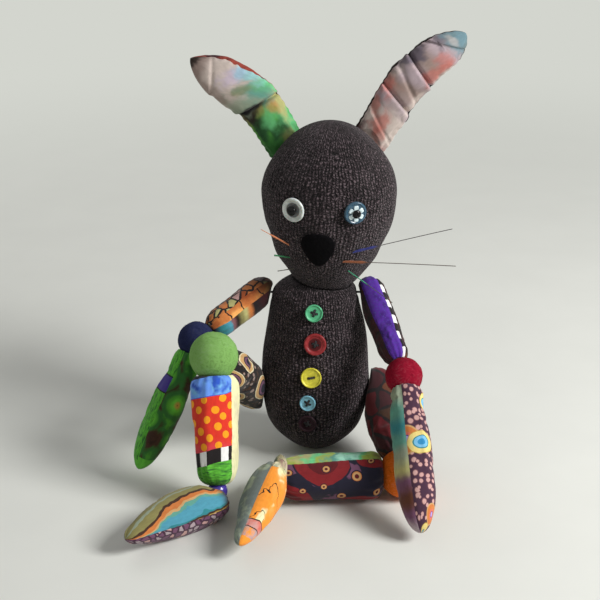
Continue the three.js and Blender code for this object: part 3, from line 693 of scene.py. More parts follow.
class Fabric(Nodes):
    """A cloth's node tree with its own coordinates in metres, u around the piece and v along it, and ways to print
    on it. Each way returns a colour socket."""

    def __init__(self, tree, extent, dyes):
        super().__init__(tree)
        self.dyes, self.extent = dyes, extent
        self.uv = add(tree, "UVMap", uv_map="cloth").outputs[0]
        parts = add(tree, "SeparateXYZ", (self.uv,))
        self.u, self.v = parts.outputs[0], parts.outputs[1]
        self.share = self.calc("DIVIDE", self.v, extent)

    def dye(self, tint):
        """A dye by name, or a socket as it is."""
        return tuple(getattr(self.dyes, tint)) if isinstance(tint, str) else tint

    def mixed(self, share, ground, figure):
        """Ground where share is 0, figure where it is 1."""
        return self.mix(share, self.dye(ground), self.dye(figure))

    def stretched(self, stretch):
        """The coordinates, stretched around and along the piece."""
        return self.put("VectorMath", (self.uv, (*stretch, 1)), operation="MULTIPLY")

    def noise(self, pitch, detail=3.0, stretch=(1, 1)):
        """Soft noise about 0, from -0.5 to 0.5, with blots a pitch across."""
        vector = self.stretched(stretch)
        raw = self.put("TexNoise", {"Vector": vector, "Scale": per(pitch), "Detail": detail}, noise_dimensions="2D")
        return self.calc("SUBTRACT", raw, 0.5)

    def ramp(self, value, tints, hard=True, places=None):
        """Colours in turn from 0 to 1, hard edged or blended."""
        count = len(tints)
        if places is None:
            places = [i / count for i in range(count)] if hard else [i / (count - 1) for i in range(count)]
        node = add(self.tree, "ValToRGB", (value,), stops=[(p, self.dye(t)) for p, t in zip(places, tints)])
        node.color_ramp.interpolation = "CONSTANT" if hard else "EASE"
        return node.outputs[0]

    def mottled(self, tints, pitch):
        """Batik: colours blended by a noise."""
        spread = self.put("MapRange", (self.noise(pitch, 4.0), -0.22, 0.22, 0, 1))
        return self.ramp(spread, tints, hard=False)

    def dyed(self, tints, wander, pitch, places=None):
        """Dip dyed: colours follow one another along the piece, their borders wandering."""
        moved = self.calc("MULTIPLY_ADD", self.noise(pitch), wander, self.share)
        return self.ramp(moved, tints, hard=False, places=places)

    def shaded(self, figure, tint, near, far, most):
        """A figure blended softly towards a colour, by a given share up to one share of the length, fading out by
        another.
        On the right upper arm this darkening is painted shadow.
        """
        share = self.put("MapRange", (self.share, near, far, most, 0), interpolation_type="SMOOTHSTEP")
        return self.mixed(share, figure, tint)

    def blots(self, ground, tint, pitch, level, soft):
        """Patches of one dye where a noise is high."""
        share = self.put("MapRange", (self.noise(pitch), level, level + soft, 0, 1))
        return self.mixed(share, ground, tint)

    def stained(self, ground, stains):
        """Dye dabbed on by hand, and painted shadow dabbed where a fold or an ear's root shades the cloth. Each dab
        has its colour, its share of the length, its millimetres aside, its height and width in millimetres and its
        strength, and fades out over a wandering edge."""
        edge = self.noise(9, 4.0)
        for tint, share, aside, tall, wide, strength in stains:
            middle = (aside * MM, share * self.extent, 0)
            off = self.put("VectorMath", (self.uv, middle), operation="SUBTRACT")
            off = self.put("VectorMath", (off, (per(wide), per(tall), 0)), operation="MULTIPLY")
            far = self.put("VectorMath", (off,), "Value", operation="LENGTH")
            far = self.calc("MULTIPLY_ADD", edge, 1.7, far)
            dab = self.put("MapRange", (far, 0.35, 1.15, strength, 0), interpolation_type="SMOOTHSTEP")
            ground = self.mixed(dab, ground, tint)
        return ground

    def bordered(self, ground, border, aside):
        """A second print beyond a line that runs along the piece, so many millimetres aside, and wanders by 3."""
        line = self.calc("MULTIPLY_ADD", self.noise(18, 1.0), 3 * MM, self.u)
        past = self.calc("GREATER_THAN", line, aside * MM)
        return self.mixed(past, ground, border)

    def spots(self, ground, tints, places, pitch, jitter, uneven=0.35, stretch=(1, 1), turn=0, vary=0.7, hard=True):
        """Scattered spots of rings: each cell's distance from its own middle picks the ring. Places are the rings'
        outer edges."""
        vector = self.put(
            "VectorRotate", {"Vector": self.stretched(stretch), "Angle": math.radians(turn)}, rotation_type="Z_AXIS"
        )
        cells = add(
            self.tree, "TexVoronoi", {"Vector": vector, "Scale": per(pitch), "Randomness": jitter},
            voronoi_dimensions="2D",
        )
        lot = self.put("SeparateColor", (cells.outputs[1],))
        grown = self.put("MapRange", (lot, 0, 1, 1 - 0.3 * vary, 1 + 0.7 * vary))
        far = self.calc("MULTIPLY", cells.outputs[0], grown)
        far = self.calc("MULTIPLY_ADD", self.noise(pitch * 0.6), uneven * 0.5, far)
        figure = self.ramp(far, tints, hard, [0, *places[:-1]])
        inside = self.put("MapRange", (far, places[-1] - (0.01 if hard else 0.08), places[-1], 1, 0))
        return self.mixed(inside, ground, figure)

    def pebbles(self, ground, tints, pitch, joint):
        """Packed pebbles: cells of random dyes with a ground coloured joint between them."""
        cell = {"Vector": self.uv, "Scale": per(pitch), "Randomness": 0.9}
        lot = self.put("TexVoronoi", cell, 1, voronoi_dimensions="2D")
        edge = self.put("TexVoronoi", cell, voronoi_dimensions="2D", feature="DISTANCE_TO_EDGE")
        worn = self.calc("MULTIPLY_ADD", self.noise(pitch * 0.5), 0.25, edge)
        inside = self.put("MapRange", (worn, joint, joint + 0.05, 0, 1))
        return self.mixed(inside, ground, self.ramp(self.put("SeparateColor", (lot,)), tints))

    def ruled(self, pitch, angle, wander, grain, shift=0.0):
        """How far points lie along a direction, moved by a noise, as a share of a pitch that starts again at 0."""
        turn = math.radians(angle)
        way = (math.cos(turn) * per(pitch), math.sin(turn) * per(pitch), 0)
        far = self.put("VectorMath", (self.uv, way), "Value", operation="DOT_PRODUCT")
        moved = self.calc("MULTIPLY_ADD", self.noise(grain), wander, far)
        return self.calc("FRACT", self.calc("ADD", moved, shift))

    def waves(self, tints, pitch, angle, wander, grain, places, shift):
        """Wavy bands: the distance along a direction, moved by a noise, runs through the dyes again every pitch."""
        return self.ramp(self.ruled(pitch, angle, wander, grain, shift), tints, places=places)

    def lines(self, ground, ink, pitch, width, angle, wander, grain):
        """Fine drawn lines, a pitch apart and a share of it wide, that wander with a noise."""
        drawn = self.calc("LESS_THAN", self.ruled(pitch, angle, 2 * wander, grain), width)
        return self.mixed(drawn, ground, ink)

    def checks(self, dark, pale, width, height, share=0.5, turn=0):
        """Blocks: dark along a share of each width around the piece, changed over every height along it."""
        row = self.calc("FLOOR", self.calc("MULTIPLY", self.v, per(height)))
        far = self.calc("MULTIPLY_ADD", self.u, per(width), turn)
        far = self.calc("MULTIPLY_ADD", row, 0.5, far)
        inside = self.calc("LESS_THAN", self.calc("FRACT", far), share)
        return self.mixed(inside, pale, dark)

    def streaks(self, tints, pitch, length_ratio=7):
        """Brushed streaks that run around the piece."""
        spread = self.put("MapRange", (self.noise(pitch, 3.0, (1 / length_ratio, 1)), -0.2, 0.2, 0, 1))
        return self.ramp(spread, tints, hard=False)

    def bands(self, parts, wander=0.02, tilt=0.0):
        """Prints that follow one another along the piece, each from its own share of the length on."""
        moved = self.calc("MULTIPLY_ADD", self.noise(22, 1.0), wander * 2, self.share)
        moved = self.calc("MULTIPLY_ADD", self.u, tilt, moved)
        print_now = self.dye(parts[0][1])
        for start, figure in parts[1:]:
            past = self.calc("GREATER_THAN", moved, start)
            print_now = self.mixed(past, print_now, figure)
        return print_now


# Quilting cottons. Plain weave, printed with pigment: matt, even colour with a faint thread grain.
# The prints are plain dots, rings, checks, stripes, pebbles and batik in the doll's own colours. A few dabs on
# the ears and the right upper arm's darkening towards the shoulder are painted shadow.
COTTONS = {
    "right_ear_front": lambda f: f.stained(
        f.dyed(
            ("moss", "moss", "leaf", "olive", "dove", "shell", "shell", "taupe", "bark"), 0.1, 16,
            (0, 0.12, 0.25, 0.4, 0.46, 0.58, 0.82, 0.94, 0.99),
        ),
        (
            ("fern", 0.1, 6, 14, 9, 0.9), ("olive", 0.07, 0, 7, 7, 0.7), ("pine", 0.27, -14, 15, 10, 0.95),
            ("pine", 0.17, -3, 8, 8, 0.85), ("fern", 0.27, -3, 10, 8, 0.9), ("mint", 0.2, 9, 9, 7, 0.7),
            ("khaki", 0.34, 9, 17, 8, 0.95), ("copper", 0.31, 1, 6, 5, 0.5), ("bark", 0.385, -14, 8, 12, 0.95),
            ("dove", 0.425, 4, 5, 10, 0.8), ("sea", 0.5, 3, 13, 13, 0.9), ("fern", 0.49, 8, 9, 8, 0.5),
            ("mint", 0.475, 13, 10, 6, 0.7), ("dove", 0.5, -12, 12, 11, 0.7), ("mist", 0.6, 11, 12, 8, 0.95),
            ("olive", 0.57, -1, 6, 8, 0.55), ("lilac", 0.68, 6, 9, 9, 0.3), ("taupe", 0.76, -13, 20, 7, 0.7),
            # The three ink dabs at the end of this list lie in the crevice under the main fold's lip: painted
            # shadow.
            ("taupe", 0.92, -7, 9, 8, 0.6), ("bark", 0.99, 0, 6, 30, 0.9), ("ink", 0.446, -17, 3, 7, 0.95),
            ("ink", 0.426, -11, 3, 7, 0.95), ("ink", 0.407, -5, 3, 6, 0.9),
        ),
    ),
    "right_ear_back": lambda f: f.mottled(("maroon", "brick", "brick", "rust"), 12),
    "left_ear_front": lambda f: f.stained(
        f.dyed(
            ("blush", "shell", "shell", "stone", "taupe", "stone", "taupe", "stone", "slate"), 0.1, 18,
            (0, 0.1, 0.22, 0.33, 0.46, 0.55, 0.68, 0.82, 0.95),
        ),
        (
            # The maroon dab first in this list, at the root's left, is painted shadow under the root.
            ("maroon", 0.04, -11, 9, 9, 0.9), ("stain", 0.27, -9, 8, 7, 0.7), ("stain", 0.18, 0, 11, 6, 0.75),
            ("stain", 0.1, 6, 7, 5, 0.6), ("stain", 0.4, -8, 10, 10, 0.7), ("taupe", 0.42, 7, 10, 12, 0.6),
            # The dusk dab at share 0.66 on the left is painted shadow beside the fold at 0.58.
            ("shell", 0.4, 18, 13, 6, 0.8), ("shell", 0.52, -9, 8, 6, 0.5), ("dusk", 0.66, -9, 12, 10, 0.9),
            ("stain", 0.67, 12, 13, 8, 0.7), ("stain", 0.77, 7, 8, 7, 0.6), ("shell", 0.72, 20, 11, 4, 0.8),
            ("dusk", 0.85, -6, 6, 9, 0.7), ("drift", 0.95, 3, 11, 24, 0.95), ("shell", 0.91, 0, 3, 10, 0.5),
        ),
    ),
    "left_ear_back": lambda f: f.mottled(("ink", "bark", "ink", "chestnut"), 14),
    "right_upper_arm_front": lambda f: f.bordered(
        f.bordered(
            f.dyed(
                ("rust", "bark", "maroon", "ink", "copper", "khaki", "olive", "bark", "rosewood", "lagoon", "teal",
                 "navy"),
                0.05, 14, (0, 0.07, 0.22, 0.42, 0.48, 0.55, 0.61, 0.68, 0.74, 0.78, 0.87, 0.97),
            ),
            # Towards the shoulder the lined print is darkened to bark: painted shadow of the body and head.
            f.shaded(
                f.lines(
                    f.mottled(("rust", "copper", "apricot"), 16), "ink", 13, 0.09, angle=58, wander=0.7, grain=18
                ),
                "bark", 0.1, 0.5, most=0.9,
            ),
            -3,
        ),
        # Towards the shoulder the pebbled strip is darkened to bark: painted shadow of the body and head.
        f.shaded(
            f.pebbles("ink", ("khaki", "blush", "copper", "stone", "rust"), 6.5, 0.09), "bark", 0.05, 0.45, 0.85
        ),
        3,
    ),
    "right_upper_arm_back": lambda f: f.mottled(("ink", "bark", "chestnut", "bark"), 16),
    "right_forearm_front": lambda f: f.bands((
        (0, f.spots(
            f.mottled(("bark", "umber", "moss", "leaf"), 18), ("chestnut", "ochre", "grass", "leaf", "moss"),
            (0.06, 0.16, 0.26, 0.36, 0.5), 23, jitter=0.55, uneven=0.2, turn=20, vary=0.5, hard=False,
        )),
        (0.9, f.mottled(("leaf", "grass"), 8)),
    )),
    "right_forearm_back": lambda f: f.bands((
        (0, f.streaks(("moss", "leaf", "grass", "leaf"), 7, 0.25)),
        (0.25, "ink"), (0.26, f.mottled(("indigo", "indigo", "violet"), 8)), (0.38, "ink"),
        (0.39, f.streaks(("moss", "leaf", "grass", "moss"), 7, 0.25)), (0.93, f.mottled(("leaf", "grass"), 8)),
    ), 0.01),
    "right_thigh_front": lambda f: f.spots(
        f.spots(f.spots("ink", ("umber",), (0.3,), 4.2, 0.9), ("taupe", "bark"), (0.2, 0.26), 7, 0.9, 0.3),
        ("navy", "mauve", "navy", "tan", "cream", "bark"), (0.1, 0.17, 0.21, 0.31, 0.34, 0.38), 32,
        jitter=0.5, uneven=0.3, stretch=(1.35, 1), turn=12, vary=0.4,
    ),
    "right_thigh_back": lambda f: f.mottled(("cream", "white", "dove"), 14),
    "right_shin_front": lambda f: f.bands((
        (0, "navy"), (0.03, f.blots(f.mottled(("blue", "blue", "sky"), 16), "deep", 13, 0.03, 0.12)),
        (0.2, "deep"),
        (0.206, f.spots(
            f.dyed(("red", "red", "red", "rose"), 0.05, 20, (0, 0.4, 0.56, 0.68)), ("amber",), (0.31,), 8.2,
            jitter=0.26, uneven=0.06, turn=38, vary=0.12,
        )),
        (0.665, f.checks("ink", "white", 16.5, 200, share=0.64, turn=0.32)),
        (0.79, f.streaks(("moss", "leaf", "grass", "moss"), 1.7)),
    ), wander=0.01, tilt=-2.0),
    "right_shin_back": lambda f: f.mottled(("straw", "straw", "cream"), 18),
    "right_foot_front": lambda f: f.shaded(
        f.waves(
            ("khaki", "ochre", "umber", "teal", "lagoon", "sea", "tan", "copper", "umber", "olive", "dove",
             "olive"),
            34, angle=9, wander=0.5, grain=30, shift=0.2,
            places=(0, 0.12, 0.19, 0.24, 0.28, 0.4, 0.44, 0.47, 0.53, 0.58, 0.72, 0.78),
        ),
        "maroon", 0.04, 0.16, 0.9,
    ),
    "right_foot_back": lambda f: f.pebbles("plum", ("blush", "mauve", "stone", "mauve"), 4.4, 0.12),
    "left_upper_arm_front": lambda f: f.spots(
        f.mottled(("violet", "violet", "grape"), 9), ("indigo",), (0.2,), 2.2, 0.9
    ),
    "left_upper_arm_edge": lambda f: f.checks("ink", "white", 30, 6.5),
    "left_upper_arm_back": lambda f: f.mottled(("ink", "maroon", "ink", "chestnut"), 15),
    "left_forearm_front": lambda f: f.spots(
        f.spots(
            f.spots("plum", ("blush", "rosewood"), (0.3, 0.4), 4.7, 0.8, 0.3),
            ("lilac", "indigo", "coral", "copper", "tan"), (0.05, 0.065, 0.11, 0.2, 0.235), 39, 0.75, 0.12,
        ),
        ("steel", "sky", "teal", "butter", "ochre"), (0.09, 0.16, 0.18, 0.28, 0.3), 32,
        jitter=0.5, uneven=0.2, stretch=(1, 1.15), turn=25, vary=0.5,
    ),
    "left_forearm_back": lambda f: f.dyed(
        ("dove", "dove", "sea", "teal", "sea", "dove", "khaki", "mauve", "chestnut", "mauve", "stone"), 0.16, 18
    ),
    "left_thigh_front": lambda f: f.pebbles("ink", ("maroon", "chestnut", "claret", "umber", "maroon"), 17, 0.05),
    "left_thigh_back": lambda f: f.mottled(("maroon", "chestnut", "ink"), 14),
    "left_shin_front": lambda f: f.spots(
        f.spots(
            f.blots(f.mottled(("mauve", "mauve", "plum"), 16), "navy", 26, -0.07, 0.02),
            ("claret", "crimson", "navy"), (0.2, 0.4, 0.44), 40, jitter=0.5, uneven=0.35, turn=15, vary=0.4,
        ),
        ("claret", "tan", "copper", "navy"), (0.07, 0.13, 0.16, 0.21), 17, 0.85, 0.1,
    ),
    "left_shin_back": lambda f: f.dyed(
        ("olive", "lime", "mint", "aqua", "sea", "lime", "mint", "khaki", "lime", "aqua"), 0.5, 11
    ),
    "left_foot_front": lambda f: f.bands((
        (0, f.lines(f.mottled(("dove", "cream", "blush"), 9), "bark", 9, 0.07, angle=30, wander=0.8, grain=16)),
        (0.14, f.lines(f.blots(f.mottled(("orange", "orange", "apricot"), 26), "straw", 24, 0.1, 0.06),
                       "bark", 24, 0.035, angle=55, wander=1.0, grain=24)),
        (0.75, "bark"), (0.76, f.mottled(("coral", "blush"), 8)), (0.83, "bark"),
        (0.84, f.mottled(("stone", "orange"), 7)), (0.93, "orange"),
    ), 0.03),
    "left_foot_back": lambda f: f.mottled(("slate", "slate", "dove", "slate"), 14),
}


def cotton(name, extent):
    """Quilting cotton, plain woven and printed: matt pigment colour, each thread a shade lighter or darker than the
    next, a fine over-and-under grain in the bump and a soft sheen of loose fibre ends."""
    scene = bpy.context.scene
    material, tree, shader = new_material("printed_cotton_" + name)
    fabric = Fabric(tree, extent, scene.sock_doll_dyes)
    pitch = scene.sock_doll_sizes.weave
    tint = COTTONS[name](fabric)
    scale = wave_scale(pitch)
    threads = [
        fabric.put("TexWave", {"Vector": fabric.uv, "Scale": scale, "Distortion": 0.6, "Detail": 1.0}, 1,
                   wave_type="BANDS", bands_direction=way)
        for way in "XY"
    ]
    grain = fabric.calc("MULTIPLY", *threads)
    slub = fabric.noise(1.6, 5.0, (1, 0.35))
    soft = fabric.noise(30, 2.0)
    shade = fabric.calc("MULTIPLY_ADD", slub, 0.34, 0.98)
    shade = fabric.calc("MULTIPLY_ADD", soft, 0.25, shade)
    shade = fabric.calc("MULTIPLY_ADD", grain, 0.12, shade)
    level = fabric.put("CombineColor", (shade, shade, shade))
    worn = fabric.mix(1.0, tint, level, blend_type="MULTIPLY")
    height = fabric.calc("MULTIPLY_ADD", slub, 0.8, grain)
    bump = fabric.put("Bump", {"Strength": 0.35, "Distance": 0.12 * MM, "Height": height})
    set_inputs(
        tree, shader, Base_Color=worn, Roughness=0.86, IOR=1.5, Specular_IOR_Level=0.3, Sheen_Weight=0.12,
        Sheen_Roughness=0.5, Normal=bump,
    )
    return material


def marled_knit():
    """Marled jersey sock: columns of small loops in a dark yarn plied with paler strands. The loops have felted
    with wear, so the columns wander and the loops stand up as uneven nubs. Their colour follows their height as
    well as the strands: painted shade, near black, between the loops and a paler painted highlight on their tops,
    with a bloom of loose wool along the edges."""
    scene = bpy.context.scene
    trims, wale = scene.sock_doll_trims, scene.sock_doll_sizes.wale
    material, tree, shader = new_material("marled_sock_knit")
    fabric = Fabric(tree, 1.0, scene.sock_doll_dyes)
    course = 0.72 * wale
    drift_u = fabric.calc("MULTIPLY_ADD", fabric.noise(8, 2.0), 4.5 * MM, fabric.u)
    drift_v = fabric.calc("MULTIPLY_ADD", fabric.noise(6, 2.0), 4.5 * MM, fabric.v)
    column = fabric.calc("DIVIDE", drift_u, wale)
    number = fabric.calc("FLOOR", column)
    across = fabric.calc("SUBTRACT", fabric.calc("FRACT", column), 0.5)
    aside = fabric.calc("ABSOLUTE", across)
    shift = fabric.put("TexWhiteNoise", {"W": number}, noise_dimensions="1D")
    row = fabric.calc("DIVIDE", drift_v, course)
    row = fabric.calc("MULTIPLY_ADD", shift, 0.9, row)
    row = fabric.calc("MULTIPLY_ADD", aside, -0.8, row)
    loop_of = fabric.put("CombineXYZ", (number, fabric.calc("FLOOR", row), 0.0))
    lot = fabric.put("TexWhiteNoise", {"Vector": loop_of}, noise_dimensions="2D")
    side = fabric.calc("COSINE", fabric.calc("MULTIPLY", across, math.pi))
    ply = fabric.calc("MULTIPLY", fabric.calc("FRACT", row), math.pi)
    loop = fabric.calc("MULTIPLY", fabric.calc("SINE", ply), side)
    nub = fabric.calc("MULTIPLY_ADD", fabric.noise(1.9, 2.0), 2.1, loop)
    nub = fabric.calc("MULTIPLY_ADD", lot, 0.35, nub)
    height = fabric.put("MapRange", (nub, -0.2, 1.5, 0, 1))
    # The colour reads the nubs' height plus a noise for the marled strands: painted shade in the gaps, painted
    # highlight on the tops.
    strand = fabric.calc("MULTIPLY_ADD", fabric.noise(12, 4.0), 0.35, height)
    # A near black below the darkest strand: painted shade between the loops.
    gap = toned(trims.yarn_dark, 0.2)
    yarn = fabric.ramp(
        strand, (gap, tuple(trims.yarn_dark), tuple(trims.yarn_mid), tuple(trims.yarn_pale)), hard=False,
        places=(0.1, 0.32, 0.57, 0.96),
    )
    bump = fabric.put("Bump", {"Strength": 1.0, "Distance": 1.3 * MM, "Height": height})
    set_inputs(
        tree, shader, Base_Color=yarn, Roughness=0.92, IOR=1.5, Specular_IOR_Level=0.2, Sheen_Weight=0.17,
        Sheen_Roughness=0.45, Sheen_Tint=(0.75, 0.68, 0.7, 1), Normal=bump,
    )
    return material


def wool_felt(name, tint, pale=0.5):
    """Wet felted wool: matted fibres that swirl over it in lighter and darker wisps, and a dry, soft sheen."""
    material, tree, shader = new_material("wool_felt_" + name)
    put = Nodes(tree).put
    here = put("TexCoord", out="Object")
    swirl = put("TexNoise", {"Vector": here, "Scale": per(9), "Detail": 2.0}, 1)
    bent = put("VectorMath", (swirl, (9 * MM, 9 * MM, 9 * MM), here), operation="MULTIPLY_ADD")
    wisps = put("Mapping", {"Vector": bent, "Scale": (1.0, 4.5, 1.6)}, vector_type="POINT")
    fibre = put("TexNoise", {"Vector": wisps, "Scale": per(2.6), "Detail": 5.0, "Roughness": 0.65})
    cloud = put("TexNoise", {"Vector": here, "Scale": per(14), "Detail": 3.0})
    both = put("Math", (cloud, 0.5, fibre), operation="MULTIPLY_ADD")
    light = tuple(c + pale * (0.75 * max(tint[:3]) + 0.05 - c) * 0.35 for c in tint[:3]) + (1,)
    worn = put("ValToRGB", (both,), stops=((0.5, toned(tint, 0.66)), (1.02, light), (0.74, tuple(tint))))
    set_inputs(
        tree, shader, Base_Color=worn, Roughness=0.95, IOR=1.5, Specular_IOR_Level=0.05, Sheen_Weight=0.08,
        Sheen_Roughness=0.4, Sheen_Tint=toned(tint, 1.3, 0.02),
        Normal=put("Bump", {"Strength": 0.4, "Distance": 0.3 * MM, "Height": fibre}),
    )
    return material


def moulded(name, tint, roughness, clear=0.0, inner=None, share=0.0, gleam=0.5):
    """Cast polyester button: glossy, faintly clouded through its depth, with hairline scratches from wear that dull
    its gleam. A thin middle lets a darker shade through."""
    material, tree, shader = new_material("cast_polyester_" + name)
    nodes = Nodes(tree)
    put = nodes.put
    here = put("TexCoord", out="Object")
    cloud = put("TexNoise", {"Vector": here, "Scale": per(5), "Detail": 4.0, "Distortion": 0.8})
    body = put("ValToRGB", (cloud,), stops=((0.3, toned(tint, 0.736)), (0.7, toned(tint, 1.24, 0.03))))
    if inner is not None:
        step = put("SeparateXYZ", (put("UVMap", uv_map="cloth"),), 1)
        thin = put("MapRange", (step, share, share + 0.04, 0, 1))
        body = nodes.mix(thin, body, tuple(inner))
    fine = put("Mapping", {"Vector": here, "Scale": (1, 6, 1), "Rotation": (0.4, 0.3, 0.7)})
    hair = put("TexNoise", {"Vector": fine, "Scale": per(0.9), "Detail": 4.0})
    rough = put("MapRange", (hair, 0.35, 0.7, roughness - 0.06, roughness + 0.16))
    set_inputs(
        tree, shader, Base_Color=body, Roughness=rough, IOR=1.52, Specular_IOR_Level=gleam, Coat_Weight=0.3 * gleam,
        Coat_Roughness=0.15, Subsurface_Weight=clear,
        Normal=put("Bump", {"Strength": 0.06, "Distance": 0.05 * MM, "Height": hair}),
    )
    return material


def waxed_thread(name, tint, end=None, share=0.0):
    """Waxed twisted thread: plies wind round it as slanting ridges, with a slight waxy gleam. A whisker's thread is
    dyed at its root and bare beyond."""
    material, tree, shader = new_material("waxed_thread_" + name)
    nodes = Nodes(tree)
    parts = add(tree, "SeparateXYZ", (nodes.put("UVMap", uv_map="cloth"),)).outputs
    wound = nodes.calc("MULTIPLY_ADD", parts[1], 34.0, parts[0])
    ply = nodes.calc("SINE", nodes.calc("MULTIPLY", wound, 4 * math.pi))
    shade = nodes.put("MapRange", (ply, -1, 1, 0.35, 0.0))
    ground = tuple(tint)
    if end is not None:
        past = nodes.put("MapRange", (parts[1], share, share + 0.06, 0, 1))
        ground = nodes.mix(past, ground, tuple(end))
    set_inputs(
        tree, shader, Base_Color=nodes.mix(shade, ground, toned(tint, 0.35)), Roughness=0.55, IOR=1.48,
        Sheen_Weight=0.1, Normal=nodes.put("Bump", {"Strength": 0.5, "Distance": 0.15 * MM, "Height": ply}),
    )
    return material


def glazed_bead(name, tint, roughness, gleam=0.5):
    """Lacquered bead: one deep colour under a clear gloss, with a faint ripple where the lacquer pooled."""
    material, tree, shader = new_material("lacquered_bead_" + name)
    put = Nodes(tree).put
    pool = put("TexNoise", {"Vector": put("TexCoord", out="Object"), "Scale": per(4), "Detail": 2.0})
    body = put("ValToRGB", (pool,), stops=((0.3, toned(tint, 0.7)), (0.7, tuple(tint))))
    set_inputs(
        tree, shader, Base_Color=body, Roughness=roughness, IOR=1.5, Specular_IOR_Level=gleam,
        Coat_Weight=0.4 * gleam, Coat_Roughness=0.06,
        Normal=put("Bump", {"Strength": 0.08, "Distance": 0.1 * MM, "Height": pool}),
    )
    return material


def stringing_thread(tint):
    """Waxed cotton cord of the strings: plies slant round it at about 1.5 mm, with a dull gleam."""
    material, tree, shader = new_material("waxed_stringing_thread")
    put = Nodes(tree).put
    ply = put(
        "TexWave", {"Vector": put("TexCoord", out="Object"), "Scale": wave_scale(1.5 * MM), "Distortion": 1.0}, 1,
        wave_type="BANDS", bands_direction="DIAGONAL",
    )
    set_inputs(
        tree, shader, Roughness=0.6,
        Base_Color=put("ValToRGB", (ply,), stops=((0.2, tuple(tint)), (0.9, toned(tint, 2.5, 0.01)))),
        Normal=put("Bump", {"Strength": 0.5, "Distance": 0.2 * MM, "Height": ply}),
    )
    return material


def plain_floor(tint, backdrop):
    """Pale matt floor with a faint grit. Far from the doll the camera sees the backdrop's plain colour instead,
    which casts no light."""
    material, tree, shader = new_material("plain_floor")
    nodes = Nodes(tree)
    put = nodes.put
    here = put("TexCoord", out="Object")
    grit = put("TexNoise", {"Vector": here, "Scale": per(60), "Detail": 4.0})
    worn = put("ValToRGB", (grit,), stops=((0.3, toned(tint, 0.97)), (0.7, tuple(tint))))
    set_inputs(tree, shader, Base_Color=worn, Roughness=0.9, Specular_IOR_Level=0.2)
    far = put("VectorMath", (here,), "Value", operation="LENGTH")
    fade = put("MapRange", (far, *FLOOR_FADE, 0, 1), interpolation_type="SMOOTHERSTEP")
    fade = nodes.calc("MULTIPLY", fade, put("LightPath", out="Is Camera Ray"))
    both = put("MixShader", (fade, shader.outputs[0], put("Emission", (tuple(backdrop), 1.0))))
    tree.links.new(both, tree.nodes["Material Output"].inputs[0])
    return material


def studio(backdrop):
    """Even white light from all round, while the camera, glossy and clear surfaces see the backdrop's colour."""
    world = bpy.data.worlds.new("studio")
    world.use_nodes = True
    tree = world.node_tree
    tree.nodes.clear()
    nodes = Nodes(tree)
    path = add(tree, "LightPath").outputs
    seen = path["Is Camera Ray"]
    for kind in ("Is Glossy Ray", "Is Transmission Ray"):
        seen = nodes.calc("MAXIMUM", seen, path[kind])
    light = nodes.put("Background", ((1, 1, 1, 1), WORLD_LIGHT))
    plain = nodes.put("Background", (tuple(backdrop), 1.0))
    add(tree, "OutputWorld", (nodes.put("MixShader", (seen, light, plain)),))
    return world


# The doll's forms

def body_place():
    """The body stands on the floor and faces forwards."""
    base = np.array((0, 0, -0.5 * MM))
    return along(base, base + UPWARD, FORWARD)


def body_form():
    """A pear that leans back."""
    sizes = bpy.context.scene.sock_doll_sizes
    lean = np.array((0, sizes.body_lean, 0))
    return stuffed(
        length=sizes.body_height, radius=sizes.body_radius, depth=0.9, flat=-FORWARD,
        swell=(0.74, 0.9, 1, 0.985, 0.915, 0.82, 0.72), round_start=26 * MM, round_end=14 * MM,
        bend=lambda run: np.outer(run, lean), rows=64, columns=104, groove=0, pucker=0, lump=0.7 * MM,
        lump_pitch=38 * MM, shrink=0.5 * MM, seed=8,
    )


def body_breadth(y, z):
    """Half the body's width at a depth and a height: its ellipse's chord, 0 beside it."""
    form = body_form()
    s = z / form.length
    inside = (s > 0.001) & (s < 0.999)
    wide = np.where(inside, radii(form, np.clip(s, 0.001, 0.999)), 0)
    off = (y - bpy.context.scene.sock_doll_sizes.body_lean * s) / np.maximum(form.depth * wide, 1e-6)
    return wide * np.sqrt(np.clip(1 - off**2, 0, 1))


def head_place():
    """The head stands on the neck joint and points to its own top."""
    top, _ = reach(JOINTS["neck_turn"], "head_sock")
    return along(JOINTS["neck_turn"], top, FORWARD)


def head_form():
    """An egg on a round chin."""
    sizes = bpy.context.scene.sock_doll_sizes
    _, rise = reach(JOINTS["neck_turn"], "head_sock")
    chin = sizes.chin_radius / sizes.head_radius
    return stuffed(
        start=-sizes.chin_radius, length=sizes.chin_radius + rise, radius=sizes.head_radius, depth=0.95,
        swell=(chin, chin, 0.82, 0.96, 1, 0.99, 0.95, 0.91), round_start=sizes.chin_radius, round_end=48 * MM,
        flat=head_place().front, rows=72, columns=112, groove=0, pucker=0, lump=0.7 * MM, lump_pitch=42 * MM,
        shrink=0.5 * MM, seed=5,
    )


def out_of_head(points, gap):
    """The way out of the head for points inside it, square to its surface: the shortfall of their distance from its
    axis, by the slope of the form there."""
    place, form = head_place(), head_form()
    z, flat = beside(points, place)
    s = np.clip((z - form.start) / form.length, 0.002, 0.998)
    step = 0.001
    slope = (radii(form, s + step) - radii(form, s - step)) / (2 * step * form.length)
    stretched = flat + ((1 / form.depth - 1) * (flat @ place.front))[..., None] * place.front
    far = np.linalg.norm(stretched, axis=-1)
    short = np.maximum(radii(form, s) + gap * np.hypot(1, slope) - far, 0) / (1 + slope**2)
    short = np.where(z < form.start + form.length, short, 0)
    outward = stretched / np.maximum(far, 1e-6)[..., None] - slope[..., None] * place.axis
    return short[..., None] * outward


